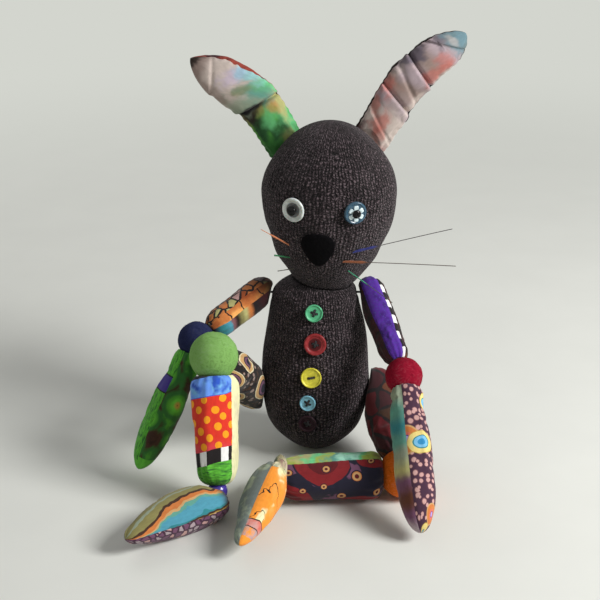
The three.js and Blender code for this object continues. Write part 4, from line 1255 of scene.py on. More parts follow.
def out_of_limb(points, place, reach_of_limb, radius, round_end):
    """The way out of a round-ended limb for points inside it, square to its axis."""
    z, flat = beside(points, place)
    far = np.linalg.norm(flat, axis=-1)
    wide = np.where(z > 0, radius * rounded((reach_of_limb - z) / round_end), 0)
    return flat * (np.maximum(wide / np.maximum(far, 1e-6), 1) - 1)[..., None]


def head_surface(around, rise, lift):
    """Points on the head at degrees around from the front and heights above the chin, moved outwards by lift."""
    place, form = head_place(), head_form()

    def at(degrees, height):
        s = np.clip(height / form.length, 0.001, 0.999)
        turn = np.radians(degrees)
        out = np.cos(turn)[..., None] * form.depth * place.front + np.sin(turn)[..., None] * place.across
        z = (form.start + s * form.length)[..., None]
        return place.origin + z * place.axis + radii(form, s)[..., None] * out

    around, rise = np.broadcast_arrays(np.asarray(around, float), np.asarray(rise, float))
    normal = unit(np.cross(at(around + 0.1, rise) - at(around - 0.1, rise),
                           at(around, rise + 0.1 * MM) - at(around, rise - 0.1 * MM)))
    return at(around, rise) + np.asarray(lift)[..., None] * normal


# How each kind of limb swells along its length, how its ends round off and where it is pleated
LIMB_FORMS = {
    "upper_arm": dict(
        swell=(1, 1, 0.98, 0.96, 0.94), round_end=14 * MM, pleats=13, pleat_end=0.07, pleat_start=0.04,
    ),
    "forearm": dict(
        swell=(0.86, 0.92, 1, 1, 0.94, 0.72), round_start=9 * MM, round_end=17 * MM, square=2.6, pleats=14,
        pleat_start=0.06,
    ),
    "thigh": dict(swell=(1, 1, 1, 0.99, 0.96), round_end=19 * MM, pleats=15, pleat_end=0.06, pleat_start=0.04),
    "shin": dict(
        swell=(1, 1, 0.99, 0.96, 0.92, 0.88), round_start=10 * MM, round_end=11 * MM, square=2.6, pleats=15,
        pleat_start=0.06, pleat_end=0.05,
    ),
    "foot": dict(
        swell=(0.9, 1, 0.98, 0.84, 0.62, 0.4), round_start=12 * MM, round_end=10 * MM, depth=0.9, pleats=12,
        pleat_start=0.06,
    ),
}
# The right foot is filled fuller than the left
FULLER = {"right_foot": (0.94, 1.14, 1.2, 1.08, 0.82, 0.5)}
# What a limb hangs from, what ends it, and which kind of ball or bead is strung there
LIMB_ENDS = {
    "upper_arm": ("shoulder", "elbow", "felt_ball"),
    "forearm": ("elbow", None, "felt_ball"),
    "thigh": ("hip", "knee", "felt_ball"),
    "shin": ("knee", "ankle", "bead"),
    "foot": ("ankle", None, "bead"),
}
# How deep a ball sits in the limb above it and below it, how deep a bead sits, and the gaps to balls and limbs
UPPER_SEAT, LOWER_SEAT, BEAD_SEAT, BALL_GAP, LIMB_GAP = 3 * MM, 6 * MM, 4 * MM, 0.42 * MM, 2 * MM
BODY_GAP, CHIN_GAP, HEAD_GAP = 0.7 * MM, 0.8 * MM, 0.3 * MM
# A foot's heel reaches past the ankle bead: how far back, how far in front of it and how far below it
HEELS = {"right": (0.5 * MM, 3 * MM, 6 * MM), "left": (3 * MM, 7.5 * MM, 0)}
# The knees' felt balls are wound fuller than the elbows', and the orange one sits shallower in its shin
FULLER_BALLS = {"right_knee": 1.0 * MM, "left_knee": 1.3 * MM}
SHALLOWER = {"left_shin": 4 * MM}
# The limb that a shin or a foot could swing into, where it hangs, what is between them and how deep that sits in it
LIMB_BEFORE = {"shin": ("thigh", "hip", "knee", UPPER_SEAT), "foot": ("shin", "knee", "ankle", BEAD_SEAT)}
# Where each panel starts, in degrees around from the side that faces the viewer
PANELS = {
    "right_upper_arm": ((-120, "front"), (75, "back")),
    "right_forearm": ((-155, "front"), (25, "back")),
    "right_thigh": ((-130, "front"), (130, "back")),
    "right_shin": ((-55, "front"), (125, "back")),
    "right_foot": ((-28, "front"), (150, "back")),
    "left_upper_arm": ((-68, "edge"), (-46, "front"), (30, "back")),
    "left_forearm": ((-160, "front"), (20, "back")),
    "left_thigh": ((-90, "front"), (90, "back")),
    "left_shin": ((-140, "front"), (52, "back")),
    "left_foot": ((-154, "front"), (26, "back")),
    "right_ear": ((-114, "front"), (66, "back")),
    "left_ear": ((-64, "front"), (100, "back")),
}
SEEDS = {name: 3 + 2 * i for i, name in enumerate(PANELS)}


def panel_cottons(name, extent):
    """A piece's panels with their cottons."""
    return [(start, cotton(f"{name}_{part}", extent)) for start, part in PANELS[name]]


def ball_radius(side, joint, kind):
    """Radius of a strung ball or bead, from its own solid."""
    name = f"{side}_{joint}"
    return reach(JOINTS[name], f"{name}_{kind}")[1] + FULLER_BALLS.get(name, 0)


def before(side, kind, size):
    """The way out of the limb before a shin or a foot, whose joint's ball or bead has the given radius."""
    sizes = bpy.context.scene.sock_doll_sizes
    other, root, joint, seat = LIMB_BEFORE[kind]
    end = JOINTS[f"{side}_{joint}"]
    place = along(JOINTS[f"{side}_{root}"], end)
    far = np.linalg.norm(end - place.origin) - size + seat + LIMB_GAP
    wide = getattr(sizes, f"{other}_radius") * LIMB_FORMS[other]["swell"][-1] + LIMB_GAP
    round_end = LIMB_FORMS[other]["round_end"]
    return lambda points: out_of_limb(points, place, far, wide, round_end)


def limb(side, kind):
    """One limb bag between its joint and the next ball, or its own tip."""
    sizes = bpy.context.scene.sock_doll_sizes
    name = f"{side}_{kind}"
    joint, beyond, strung = LIMB_ENDS[kind]
    origin = JOINTS[f"{side}_{joint}"]
    radius = getattr(sizes, f"{name}_radius" if kind == "forearm" else f"{kind}_radius")
    limits = [("floor",)]
    facts = dict(LIMB_FORMS[kind])
    facts["swell"] = FULLER.get(name, facts["swell"])
    if kind in ("upper_arm", "thigh"):
        start = -radius
        facts["round_start"] = radius
        limits.append(("body", HINGES[f"{side}_{joint}"], BODY_GAP))
        limits.append(("ball", JOINTS["neck_turn"], sizes.chin_radius + CHIN_GAP))
    else:
        size = ball_radius(side, joint, strung if kind == "foot" else "felt_ball")
        start = -HEELS[side][0] if kind == "foot" else size - SHALLOWER.get(name, LOWER_SEAT)
        if kind in LIMB_BEFORE:
            limits.append(("swept", HINGES[f"{side}_{joint}"], before(side, kind, size)))
        limits.append(("ball", origin, size + BALL_GAP))
    if beyond:
        end = JOINTS[f"{side}_{beyond}"]
        size = ball_radius(side, beyond, strung)
        seat = BEAD_SEAT if beyond == "ankle" else UPPER_SEAT
        tip = np.linalg.norm(end - origin) - size + seat
        limits.append(("ball", end, size + BALL_GAP))
    else:
        end, tip = reach(origin, f"{name}_cloth")
    place = along(origin, end)
    if kind == "foot":
        facts["flat"] = unit(UPWARD - (UPWARD @ place.axis) * place.axis)
        _, fore, under = HEELS[side]
        facts["bend"] = lambda run: np.outer((1 - run) ** 2, fore * place.front - under * place.across)
    form = stuffed(start=start, length=tip - start, radius=radius, seed=SEEDS[name], **facts)
    piece = bag(f"{name}_bag", place, form, panel_cottons(name, form.length), limits, *FULLNESS["limb"])
    dressed(piece, name, f"{name}_cloth", f"{name}_cloth", f"{name}_stuffing")


# Each ear's bow and where it peaks; each fold's share of the length, slant, height and width; the scallops' start,
# end, depth and number; the turn at root and tip in degrees
EARS = {
    "right": dict(
        bow=-9.5 * MM, peak=0.43, swell=(1.06, 1.12, 1.14, 1.16, 1.1, 0.9), point=1.4,
        folds=((0.43, 17, 3.6 * MM, 26 * MM), (0.84, -38, 0.5 * MM, 12 * MM)),
        scallop=(0.6, 1.0, 0.16, 11), turn=(24, -6),
    ),
    "left": dict(
        bow=8 * MM, peak=0.5, swell=(1.0, 1.02, 1.02, 1.06, 1.08, 0.9), point=1.15,
        folds=((0.14, 24, 0.25 * MM, -10 * MM), (0.34, 10, 3.0 * MM, -17 * MM), (0.47, 26, 0.6 * MM, -9 * MM),
               (0.58, 14, 3.2 * MM, -20 * MM), (0.88, -30, 0.8 * MM, 8 * MM)),
        scallop=(0.1, 0.95, 0.26, 3.6), turn=(-14, -14),
    ),
}
EAR_ROOT = 5.5 * MM


def ear(side):
    """A flat, lightly filled bag, folded over and bent at its main fold, that stands off the head. Its seams wander
    in scallops, so that the back's cloth shows along one edge."""
    sizes = bpy.context.scene.sock_doll_sizes
    origin = JOINTS[f"{side}_ear_flop"]
    tip, far = reach(origin, f"{side}_ear_cloth")
    place = along(origin, tip, FORWARD)
    facts = dict(EARS[side])
    bow, peak = facts.pop("bow"), facts.pop("peak")
    low, high, depth, count = facts.pop("scallop")
    lean = np.radians(facts.pop("turn"))

    def bend(run):
        """Two nearly straight stretches that meet in a rounded corner at the peak."""
        tent = np.minimum(run / peak, (1 - run) / (1 - peak))
        return np.outer(bow * (0.5 * tent + 0.5 * np.sin(np.pi * run)), -place.across)

    def twist(run):
        """A turn that changes from root to tip, and a saw tooth of scallops between two shares of the length."""
        tooth = np.mod(run * count, 1) - 0.5
        steady = lean[0] + (lean[1] - lean[0]) * smooth_step(0.4, 0.7, run)
        between = smooth_step(low, low + 0.1, run) * smooth_step(high + 0.02, high - 0.08, run)
        return steady + depth * tooth * between

    form = stuffed(
        start=-EAR_ROOT, length=far + EAR_ROOT, radius=sizes.ear_radius, round_start=EAR_ROOT, round_end=26 * MM,
        depth=0.42, flat=place.front, bend=bend, twist=twist, rows=108, pleats=9, pleat_start=0.06, pleat_end=0.03,
        pleat_fade=12 * MM, groove=0.25 * MM, pucker=0.3 * MM, shrink=0.3 * MM, lump=0.4 * MM, lump_pitch=18 * MM,
        seed=SEEDS[f"{side}_ear"], **facts,
    )
    limits = [("swept", HINGES[f"{side}_ear_flop"], lambda points: out_of_head(points, HEAD_GAP))]
    panels = panel_cottons(f"{side}_ear", form.length)
    piece = bag(f"{side}_ear_bag", place, form, panels, limits, *FULLNESS["ear"])
    dressed(piece, f"{side}_ear", f"{side}_ear_cloth", f"{side}_ear_cloth", f"{side}_ear_stuffing")


# A felt ball's rows and columns, and the number, radius and sides of its loose fibres
FELT_ROWS, FELT_COLUMNS, FELT_FIBRES, FIBRE_RADIUS, FIBRE_SIDES = 40, 64, 200, 0.035 * MM, 3
# How far a felt ball's skin lies inside its radius, and by how much its lumps of two pitches press it in and out
FELT_SINK, FELT_LUMPS = 0.3 * MM, ((0.3, 13 * MM), (0.14, 4 * MM))


def felt_ball(side, joint):
    """A felted ball: a sphere pressed slightly uneven by lumps of two sizes, with loose fibres lying over it."""
    trims = bpy.context.scene.sock_doll_trims
    name = f"{side}_{joint}"
    centre, radius = JOINTS[name], ball_radius(side, joint, "felt_ball")
    tint = tuple(getattr(trims, name))
    material = wool_felt(name, tint)
    tilt = np.linspace(0, np.pi, FELT_ROWS + 1)[1:-1, None]
    turn = np.linspace(0, 2 * np.pi, FELT_COLUMNS, endpoint=False)
    way = np.stack((np.sin(tilt) * np.cos(turn), np.sin(tilt) * np.sin(turn), -np.cos(tilt) + 0 * turn), -1)
    seed = 11 + 5 * SIDES.index(side) + (joint == "knee")

    def pressed(ways):
        """Points on the ball in the given directions."""
        uneven = sum(much * lumps(ways * radius, pitch, seed + i) for i, (much, pitch) in enumerate(FELT_LUMPS))
        return centre + ways * (radius - FELT_SINK + uneven * MM * 0.6)[..., None]

    ends = pressed(np.array((-UPWARD, UPWARD)))
    ball = skin(f"{name}_ball", pressed(way), ends[0], ends[1], [material])
    body = f"{side}_{'upper_arm' if joint == 'elbow' else 'thigh'}"
    dressed(ball, body, f"{name}_felt_ball", f"{name}_felt_ball", smooth=True)

    # Loose fibres: short arcs that hug the ball and lift off it at one end
    draw = np.random.default_rng(seed)
    count = FELT_FIBRES
    start = unit(draw.normal(size=(count, 3)))
    heading = unit(np.cross(start, draw.normal(size=(count, 3))))
    t = np.linspace(0, 1, 6)[None, :, None]
    sweep = draw.uniform(0.12, 0.42, (count, 1, 1)) * t
    curl = np.cross(start, heading)[:, None] * draw.uniform(-0.12, 0.12, (count, 1, 1)) * t**2
    arc = unit(start[:, None] * np.cos(sweep) + heading[:, None] * np.sin(sweep) + curl)
    lift = 0.06 * MM + draw.uniform(0, 0.5, (count, 1, 1)) ** 2 * 2.0 * MM * t**2
    paths = pressed(arc) + arc * lift
    guide = np.array((0.31, 0.52, 0.79))
    strands = tubes(f"{name}_fibres", paths, FIBRE_RADIUS, [material], FIBRE_SIDES, guide)
    dressed(strands, body, f"{name}_felt_ball")


BEAD_HOLE = 0.2  # half the angle that a bead's thread hole takes up, in radians


def ankle_bead(side):
    """A drilled bead: the profile runs out of one thread hole, over the round and into the other."""
    trims = bpy.context.scene.sock_doll_trims
    name = f"{side}_ankle"
    centre, radius = JOINTS[name], ball_radius(side, "ankle", "bead")
    place = along(centre, centre + unit(centre - JOINTS[f"{side}_knee"]))
    tilt = np.linspace(BEAD_HOLE, np.pi - BEAD_HOLE, 40)
    hole = math.sin(BEAD_HOLE)
    profile = [(0, -0.6), (hole * 0.8, -0.62), *zip(np.sin(tilt), -np.cos(tilt)), (hole * 0.8, 0.62), (0, 0.6)]
    _, _, points = turned(place, np.array(profile) * radius, 48, 56, soften=1)
    material = glazed_bead("purple", tuple(trims.ankle_bead), 0.22)
    bead = closed(f"{name}_drilled_bead", points, material)
    dressed(bead, f"{side}_shin", "purple_bead", f"{name}_bead", smooth=True)


# Each button's holes and how far they are turned, its rim in millimetres and its gleam
BUTTONS = {
    "green": (4, 0.5, 1.1, 0.35), "red": (4, 0.5, 1.8, 0.2), "yellow": (2, 0.17, 1.0, 0.4),
    "blue": (4, 0.3, 1.0, 0.35), "maroon": (4, 0.5, 1.2, 0.08),
}
# The holes' distance from the middle and their sizes, the dish's depth and the pitch of a stitch's strands
HOLE_SPREAD, HOLE_RADIUS, HOLE_EDGE, HOLE_DEPTH = 1.9 * MM, 0.75 * MM, 0.15 * MM, 1.3 * MM
DISH, STRAND_PITCH = 0.8 * MM, 0.62 * MM


def button_discs():
    """The five belly buttons' places, on their solids."""
    low, high = np.array(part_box("body_sock"))
    behind = np.array((0, 0.02, 0)) + (low + high) / 2 * (0, 1, 1)
    return {tint: disc_of(f"{tint}_button", behind) for tint in BUTTONS}


def belly_button(tint, disc):
    """A sewn button: a turned profile with a raised rim and a dished middle, whose holes are steep pits, and the
    black thread that crosses from hole to hole."""
    scene = bpy.context.scene
    trims = scene.sock_doll_trims
    holes, turn_start, rim, gleam = BUTTONS[tint]
    rim = rim * MM
    top, wide = disc.height, disc.radius
    dish = top - DISH
    profile = (
        (0, 0), (wide - 1.2 * MM, 0), (wide - 0.3 * MM, 0.35 * top), (wide, 0.6 * top),
        (wide - 0.3 * MM, 0.92 * top), (wide - 0.5 * rim, top), (wide - rim, top - 0.25 * MM),
        (wide - 1.4 * rim, dish), (0, dish - 0.15 * MM),
    )
    rings = 110
    radius, turn, points = turned(disc, profile, 96, rings)
    front = smooth_step(0.5, 0.62, np.linspace(0, 1, rings))[:, None]
    places = turn_start + 2 * np.pi * np.arange(holes) / holes + (np.pi / 4 if holes == 4 else np.pi / 2)
    x, y = radius * np.cos(turn), radius * np.sin(turn)
    pit = np.zeros_like(x)
    for angle in places:
        far = np.hypot(x - HOLE_SPREAD * math.cos(angle), y - HOLE_SPREAD * math.sin(angle))
        pit = np.maximum(pit, smooth_step(HOLE_RADIUS + HOLE_EDGE, HOLE_RADIUS - HOLE_EDGE, far))
    points = points - (HOLE_DEPTH * pit * front)[..., None] * disc.axis
    material = moulded(
        f"{tint}_button", tuple(getattr(trims, f"{tint}_button")), 0.36, share=0.72, gleam=gleam,
        inner=trims.red_button_middle if tint == "red" else None,
    )
    piece = closed(f"{tint}_sewn_button", points, material)
    dressed(piece, "torso", f"{tint}_button", f"{tint}_button")

    # Each stitch rises out of one hole, crosses the middle and goes down the opposite one, two strands side by side
    t = np.linspace(-1, 1, 15)[:, None]
    paths = []
    for k in range(max(1, holes // 2)):
        way = math.cos(places[k]) * disc.front + math.sin(places[k]) * disc.across
        aside = np.cross(disc.axis, way)
        rise = dish + (0.3 + 0.3 * k) * MM - 1.4 * MM * np.abs(t) ** 8
        for lane in (-0.5, 0.5):
            strand = 1.12 * HOLE_SPREAD * t * way + lane * STRAND_PITCH * aside + rise * disc.axis
            paths.append(disc.origin + strand)
    thread = bpy.data.materials.get("waxed_thread_black") or waxed_thread("black", tuple(trims.thread))
    sewn = tubes(f"{tint}_button_thread", np.array(paths), scene.sock_doll_sizes.thread_radius, [thread])
    dressed(sewn, "torso", "black_thread")


# How much wider than its solid an eye's button is, and its pupil, and how deep the pupil sits
EYES = {"right": (1.08, 1.25, 0.4 * MM), "left": (1.02, 1.1, 0.3 * MM)}
PETAL_LENGTH = 5.4 * MM
# The eye buttons' profiles from the middle of the back over the rim to the middle of the face: millimetres in from
# the edge, or None on the axis, and shares of the height
EYE_PROFILES = {
    "right": (
        (None, 0), (1.3, 0), (0, 0.5), (0.4, 0.9), (1.2, 1), (1.9, 0.78), (2.3, 0.84), (2.7, 0.7), (3.2, 0.78),
        (3.6, 0.62), (None, 0.55),
    ),
    "left": ((None, 0), (1.2, 0), (0, 0.5), (0.5, 0.92), (1.2, 1), (2.0, 0.8), (None, 0.72)),
}
# The flower's profile: shares of a petal's length, and heights in millimetres
FLOWER_PROFILE = ((0, 0), (1, 0), (1.02, 0.5), (0.9, 0.95), (0.4, 0.7), (0, 0.6))


def eye(side):
    """An eye: a ringed or dished button, a bead for a pupil, and on the left a small flower button between them."""
    trims = bpy.context.scene.sock_doll_trims
    spread, pupil_spread, sink = EYES[side]
    disc = disc_of(f"{side}_eye_button", INSIDE_HEAD)
    top, wide = disc.height, disc.radius * spread
    profile = [(0 if inset is None else wide - inset * MM, share * top) for inset, share in EYE_PROFILES[side]]
    if side == "right":
        material = moulded("right_eye", tuple(trims.right_eye), 0.3, 0.1, inner=trims.right_eye_middle, share=0.7)
    else:
        material = moulded("left_eye", tuple(trims.left_eye), 0.22)
    _, _, points = turned(disc, profile, 80, 120, soften=2)
    piece = closed(f"{side}_eye_disc", points, material)
    dressed(piece, "head", f"{side}_eye_button", f"{side}_eye_button", smooth=True)
    if side == "left":
        seat = shifted(disc, 0.7 * top * disc.axis - 0.4 * MM * disc.front - 0.3 * MM * disc.across)
        profile = np.array(FLOWER_PROFILE) * (PETAL_LENGTH, MM)
        _, _, points = turned(seat, profile, 168, 60, petals=6, notch=0.5)
        flower = closed("left_eye_flower", points, moulded("flower", tuple(trims.petals), 0.3))
        dressed(flower, "head", "left_eye_button")
    # A flattened bead whose thread hole shows as a dimple
    bead = disc_of(f"{side}_eye_bead", INSIDE_HEAD)
    wide, tall = bead.radius * pupil_spread, bead.height
    tilt = np.linspace(0, np.pi - 0.18, 36)
    profile = [
        *zip(wide * np.sin(tilt), tall * (0.5 - 0.5 * np.cos(tilt))), (0.3 * MM, 0.85 * tall), (0, 0.8 * tall),
    ]
    _, _, points = turned(shifted(bead, -sink * bead.axis), profile, 48, 60, soften=1)
    material = bpy.data.materials.get("lacquered_bead_black") or glazed_bead("black", tuple(trims.pupil), 0.2, 0.2)
    pupil = closed(f"{side}_pupil_bead", points, material)
    dressed(pupil, "head", "black_bead", f"{side}_eye_bead")


# The nose: degrees around from the head's front, height above the chin, sizes, and the head's radius there
NOSE_AROUND, NOSE_RISE, NOSE_WIDTH, NOSE_HEIGHT, NOSE_THICK = -10, 40.5 * MM, 19.5 * MM, 23 * MM, 1.9 * MM
HEAD_RADIUS_THERE = 38 * MM


def nose():
    """A felt patch: a rounded triangle whose outline radius changes with the angle, laid over the head's own
    surface. Its rings run from the middle of its back over a soft edge to the middle of its face, which swells."""
    trims = bpy.context.scene.sock_doll_trims
    turn = np.linspace(0, 2 * np.pi, 72, endpoint=False)
    outline = 1 - 0.075 * np.cos(3 * (turn - np.pi / 2)) + 0.02 * np.sin(turn)
    back, face = np.linspace(0.04, 1, 14), np.linspace(0.99, 0.03, 22)
    share = np.concatenate((back, (1.03, 1.03), face))[:, None]
    lift = np.concatenate((0 * back, (0.35, 0.7), 0.8 + 0.5 * np.sqrt(1 - face**2)))[:, None]
    frayed = 1 + 0.012 * np.cos(17 * turn) + 0.01 * np.cos(29 * turn + 1)
    x = 0.5 * NOSE_WIDTH * share * outline * frayed * np.cos(turn)
    y = 0.5 * NOSE_HEIGHT * share * outline * frayed * np.sin(turn)
    around = NOSE_AROUND + np.degrees(x / HEAD_RADIUS_THERE)
    high = (0.1 * MM + lift * NOSE_THICK * 0.8) * np.ones_like(x)
    points = head_surface(around, NOSE_RISE + y, high)
    points = points + 0.12 * MM * lumps(points, 3 * MM, 31)[..., None] * TO_VIEWER
    felt = wool_felt("nose", tuple(trims.nose), 0.1)
    patch = skin("nose_patch", points, points[0].mean(0), points[-1].mean(0), [felt])
    dressed(patch, "head", "nose_felt", "nose_felt", smooth=True)


# Thickness of each whisker's stitch, and what the whiskers share: radius of the thin end, droop as a share of the
# length, and how far the stitch runs on and thins out
WHISKER_END, WHISKER_DROOP, STITCH_PAST, STITCH_FADE = 0.24 * MM, 0.012, 2 * MM, 3 * MM
WHISKERS = {
    "right_whisker_top": 0.75, "right_whisker_middle": 0.7, "right_whisker_bottom": 0.4,
    "left_whisker_top": 1.1, "left_whisker_middle": 1.1, "left_whisker_bottom": 0.5,
}


def whisker(name, thick):
    """A stiff waxed thread on its solid's line: a thick dyed stitch at its root, then a thin end that droops."""
    scene = bpy.context.scene
    corners = node_points(name)
    middle = corners.mean(0)
    way = np.linalg.svd(corners - middle, full_matrices=False)[2][0]
    way = way * np.sign((middle - JOINTS["neck_turn"]) @ way)
    heights = (corners - middle) @ way
    root, tip = middle + heights.min() * way, middle + heights.max() * way
    far = np.linalg.norm(tip - root)
    stitch = min(scene.sock_doll_sizes.whisker_stitch + STITCH_PAST, 0.98 * far)
    t = np.linspace(0, 1, 48)
    path = root + np.outer(t, tip - root)
    path = path - np.outer(WHISKER_DROOP * far * t**2, UPWARD)
    thin = smooth_step(stitch, stitch + STITCH_FADE, t * far)
    fuzz = 1 + 0.12 * np.cos(t * far / (1.1 * MM))
    radius = (thick * 0.75 * MM * fuzz) * (1 - thin) + WHISKER_END * thin
    trims = scene.sock_doll_trims
    tint = tuple(getattr(trims, name))
    bare = tint if name.startswith("right") else tuple(trims.whisker_end)
    material = waxed_thread(name, tint, bare, stitch / far)
    piece = tubes(f"{name}_thread", path[None], radius, [material], 10)
    dressed(piece, "head", name, name)


def fill_bags():
    """Fills the bags, each a cloth under pressure with no gravity. Seams are drawn up a little shorter and
    panels let out a little longer, so that the cloth puckers; what touches a neighbour is pinned. The moves are
    capped, kept off the neighbours and written into the meshes, and one subdivision follows."""
    scene = bpy.context.scene
    pieces = [bpy.data.objects[name] for name in BAGS]
    rests = {}
    for piece in pieces:
        rests[piece.name] = rest = corners_of(piece.data)
        note = BAGS[piece.name]
        roomy = [(*limit[:2], limit[2] + PIN_ROOM) if limit[0] == "ball" else limit for limit in note.limits]
        held = np.linalg.norm(kept_clear(rest, roomy) - rest, axis=1) > PIN_MOVE
        held[[0, -1]] = True
        pins = piece.vertex_groups.new(name="held")
        pins.add(np.nonzero(held)[0].tolist(), 1.0, "REPLACE")
        seams = piece.vertex_groups.new(name="seams")
        levels = (note.seams * SEAM_LEVELS).round()
        for level in np.unique(levels):
            seams.add(np.nonzero(levels == level)[0].tolist(), level / SEAM_LEVELS, "REPLACE")
        cloth = piece.modifiers.new("Filling", "CLOTH")
        cloth.point_cache.frame_start, cloth.point_cache.frame_end = 1, FILL_FRAMES
        for key, value in CLOTH.items():
            setattr(cloth.settings, key, value)
        cloth.settings.effector_weights.gravity = 0
        cloth.collision_settings.use_collision = False
    for step in range(1, FILL_FRAMES + 1):
        scene.frame_set(step)
    graph = bpy.context.evaluated_depsgraph_get()
    filled = {piece.name: np.nan_to_num(corners_of(piece.evaluated_get(graph).data)) for piece in pieces}
    for piece in pieces:
        rest, note = rests[piece.name], BAGS[piece.name]
        moved = filled[piece.name] - rest
        size = np.linalg.norm(moved, axis=1, keepdims=True)
        moved = moved * np.minimum(1, note.cap / np.maximum(size, 1e-9)) * note.shares
        final = kept_clear(rest + moved, note.limits)
        piece.modifiers.clear()
        piece.vertex_groups.clear()
        piece.data.vertices.foreach_set("co", final.ravel())
        piece.data.update()
    scene.frame_set(1)
    for piece in pieces:
        smoothed(piece)


# Operators

class SOCKDOLL_OT_knits(bpy.types.Operator):
    """Makes the knitted body and head"""
    bl_idname = "sock_doll.knits"
    bl_label = "Knitted body and head"

    def execute(self, context):
        sizes = context.scene.sock_doll_sizes
        material = marled_knit()
        limits = [("floor",), ("ball", JOINTS["neck_turn"], sizes.chin_radius + 0.4 * MM)]
        limits += [("disc", disc, 0.5 * MM) for disc in button_discs().values()]
        body = bag("body_knit", body_place(), body_form(), [(-180, material)], limits, *FULLNESS["body"])
        dressed(body, "torso", "body_sock", "body_sock", "body_stuffing")
        limits = [("disc", disc_of(f"{side}_eye_button", INSIDE_HEAD), 0.6 * MM) for side in SIDES]
        head = bag("head_knit", head_place(), head_form(), [(-180, material)], limits, *FULLNESS["head"])
        dressed(head, "head", "head_sock", "head_sock", "head_stuffing")
        return {"FINISHED"}


class SOCKDOLL_OT_ears(bpy.types.Operator):
    """Makes the two folded cotton ears"""
    bl_idname = "sock_doll.ears"
    bl_label = "Ears"

    def execute(self, context):
        for side in SIDES:
            ear(side)
        return {"FINISHED"}


class SOCKDOLL_OT_limbs(bpy.types.Operator):
    """Makes the cotton bags of the arms and legs"""
    bl_idname = "sock_doll.limbs"
    bl_label = "Arms and legs"

    def execute(self, context):
        for side in SIDES:
            for kind in LIMB_FORMS:
                limb(side, kind)
        return {"FINISHED"}


class SOCKDOLL_OT_filling(bpy.types.Operator):
    """Fills every bag by a cloth simulation and smooths it"""
    bl_idname = "sock_doll.filling"
    bl_label = "Filling"

    def execute(self, context):
        fill_bags()
        return {"FINISHED"}


class SOCKDOLL_OT_balls(bpy.types.Operator):
    """Makes the felt balls of elbows and knees and the ankle beads"""
    bl_idname = "sock_doll.balls"
    bl_label = "Felt balls and beads"

    def execute(self, context):
        for side in SIDES:
            felt_ball(side, "elbow")
            felt_ball(side, "knee")
            ankle_bead(side)
        return {"FINISHED"}


class SOCKDOLL_OT_face(bpy.types.Operator):
    """Makes the eyes, the nose and the whiskers"""
    bl_idname = "sock_doll.face"
    bl_label = "Face"

    def execute(self, context):
        for side in SIDES:
            eye(side)
        nose()
        for name, thick in WHISKERS.items():
            whisker(name, thick)
        return {"FINISHED"}


class SOCKDOLL_OT_buttons(bpy.types.Operator):
    """Makes the five belly buttons and the threads that hold them"""
    bl_idname = "sock_doll.buttons"
    bl_label = "Belly buttons"

    def execute(self, context):
        for tint, disc in button_discs().items():
            belly_button(tint, disc)
        return {"FINISHED"}


class SOCKDOLL_OT_threads(bpy.types.Operator):
    """Gives the stringing threads of the frame their finish"""
    bl_idname = "sock_doll.threads"
    bl_label = "Stringing threads"

    def execute(self, context):
        material = stringing_thread(context.scene.sock_doll_trims.thread)
        for name, node in frame["nodes"].items():
            if name.endswith("_thread"):
                node.data.materials.clear()
                node.data.materials.append(material)
        return {"FINISHED"}


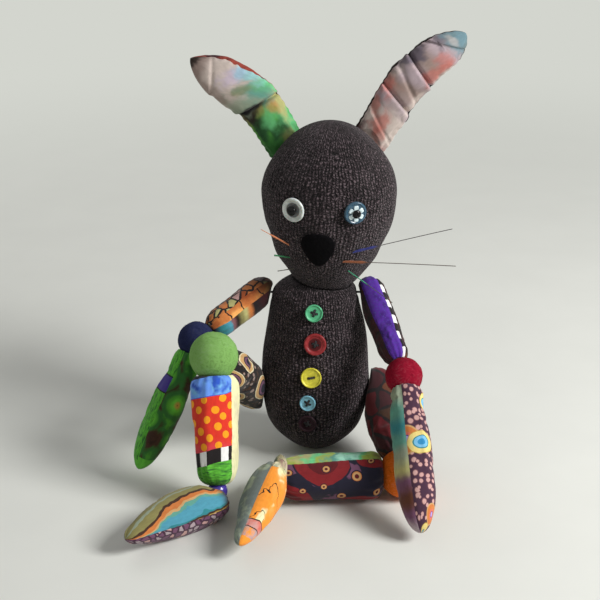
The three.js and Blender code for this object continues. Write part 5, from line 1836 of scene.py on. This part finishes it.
class SOCKDOLL_OT_stage(bpy.types.Operator):
    """Makes the floor, the light and the camera"""
    bl_idname = "sock_doll.stage"
    bl_label = "Stage"

    def execute(self, context):
        scene = context.scene
        stage = scene.sock_doll_stage
        material = plain_floor(stage.floor, stage.backdrop)
        mesh = bpy.data.meshes.new("floor")
        edges = [(x * FLOOR_HALF, y * FLOOR_HALF, 0) for x, y in ((-1, -1), (1, -1), (1, 1), (-1, 1))]
        mesh.from_pydata(edges, [], [(0, 1, 2, 3)])
        mesh.materials.append(material)
        floor = placed("floor", mesh)
        scene.world = studio(stage.backdrop)
        for name, spot, edge, watts in SOFT_BOXES:
            lamp = bpy.data.lights.new(name, "AREA")
            lamp.size, lamp.energy = edge, watts
            holder = placed(name, lamp)
            way = along(np.array(spot), LIT_MIDDLE, UPWARD)
            turn = np.eye(4)
            turn[:3] = np.stack((np.cross(way.axis, way.front), way.front, -way.axis, spot), -1)
            holder.matrix_world = turn.T.tolist()
        view = bpy.data.cameras.new("view")
        view.lens, view.sensor_width, view.clip_start = LENS, SENSOR, NEAR_CLIP
        camera = placed("view", view)
        camera.location = VIEW_MIDDLE + VIEW_DISTANCE * TO_VIEWER
        camera.rotation_euler = (math.pi / 2 - VIEW_ELEVATION, 0, 0)
        scene.camera = camera
        scene.view_settings.view_transform = "Standard"
        return {"FINISHED"}


STEPS = (
    SOCKDOLL_OT_stage, SOCKDOLL_OT_knits, SOCKDOLL_OT_ears, SOCKDOLL_OT_limbs, SOCKDOLL_OT_filling,
    SOCKDOLL_OT_balls, SOCKDOLL_OT_face, SOCKDOLL_OT_buttons, SOCKDOLL_OT_threads,
)


class SOCKDOLL_PT_panel(bpy.types.Panel):
    """Lists the steps that dress the doll, and its sizes and colours"""
    bl_idname = "SOCKDOLL_PT_panel"
    bl_label = "Sock doll"
    bl_space_type = "VIEW_3D"
    bl_region_type = "UI"
    bl_category = "Sock doll"

    def draw(self, context):
        for step in STEPS:
            self.layout.operator(step.bl_idname)
        for name, group in GROUPS.items():
            box = self.layout.box()
            for key in group.__annotations__:
                box.prop(getattr(context.scene, name), key)


GROUPS = {
    "sock_doll_sizes": DollSizes, "sock_doll_dyes": DollDyes, "sock_doll_trims": DollTrims,
    "sock_doll_stage": DollStage,
}
CLASSES = (*GROUPS.values(), *STEPS, SOCKDOLL_PT_panel)


def register():
    for made in CLASSES:
        bpy.utils.register_class(made)
    for name, group in GROUPS.items():
        setattr(bpy.types.Scene, name, bpy.props.PointerProperty(type=group))


def unregister():
    for name in GROUPS:
        delattr(bpy.types.Scene, name)
    for made in reversed(CLASSES):
        bpy.utils.unregister_class(made)


def main():
    """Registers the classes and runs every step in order."""
    register()
    for step in STEPS:
        group, name = step.bl_idname.split(".")
        getattr(getattr(bpy.ops, group), name)()


if __name__ == "__main__":
    main()
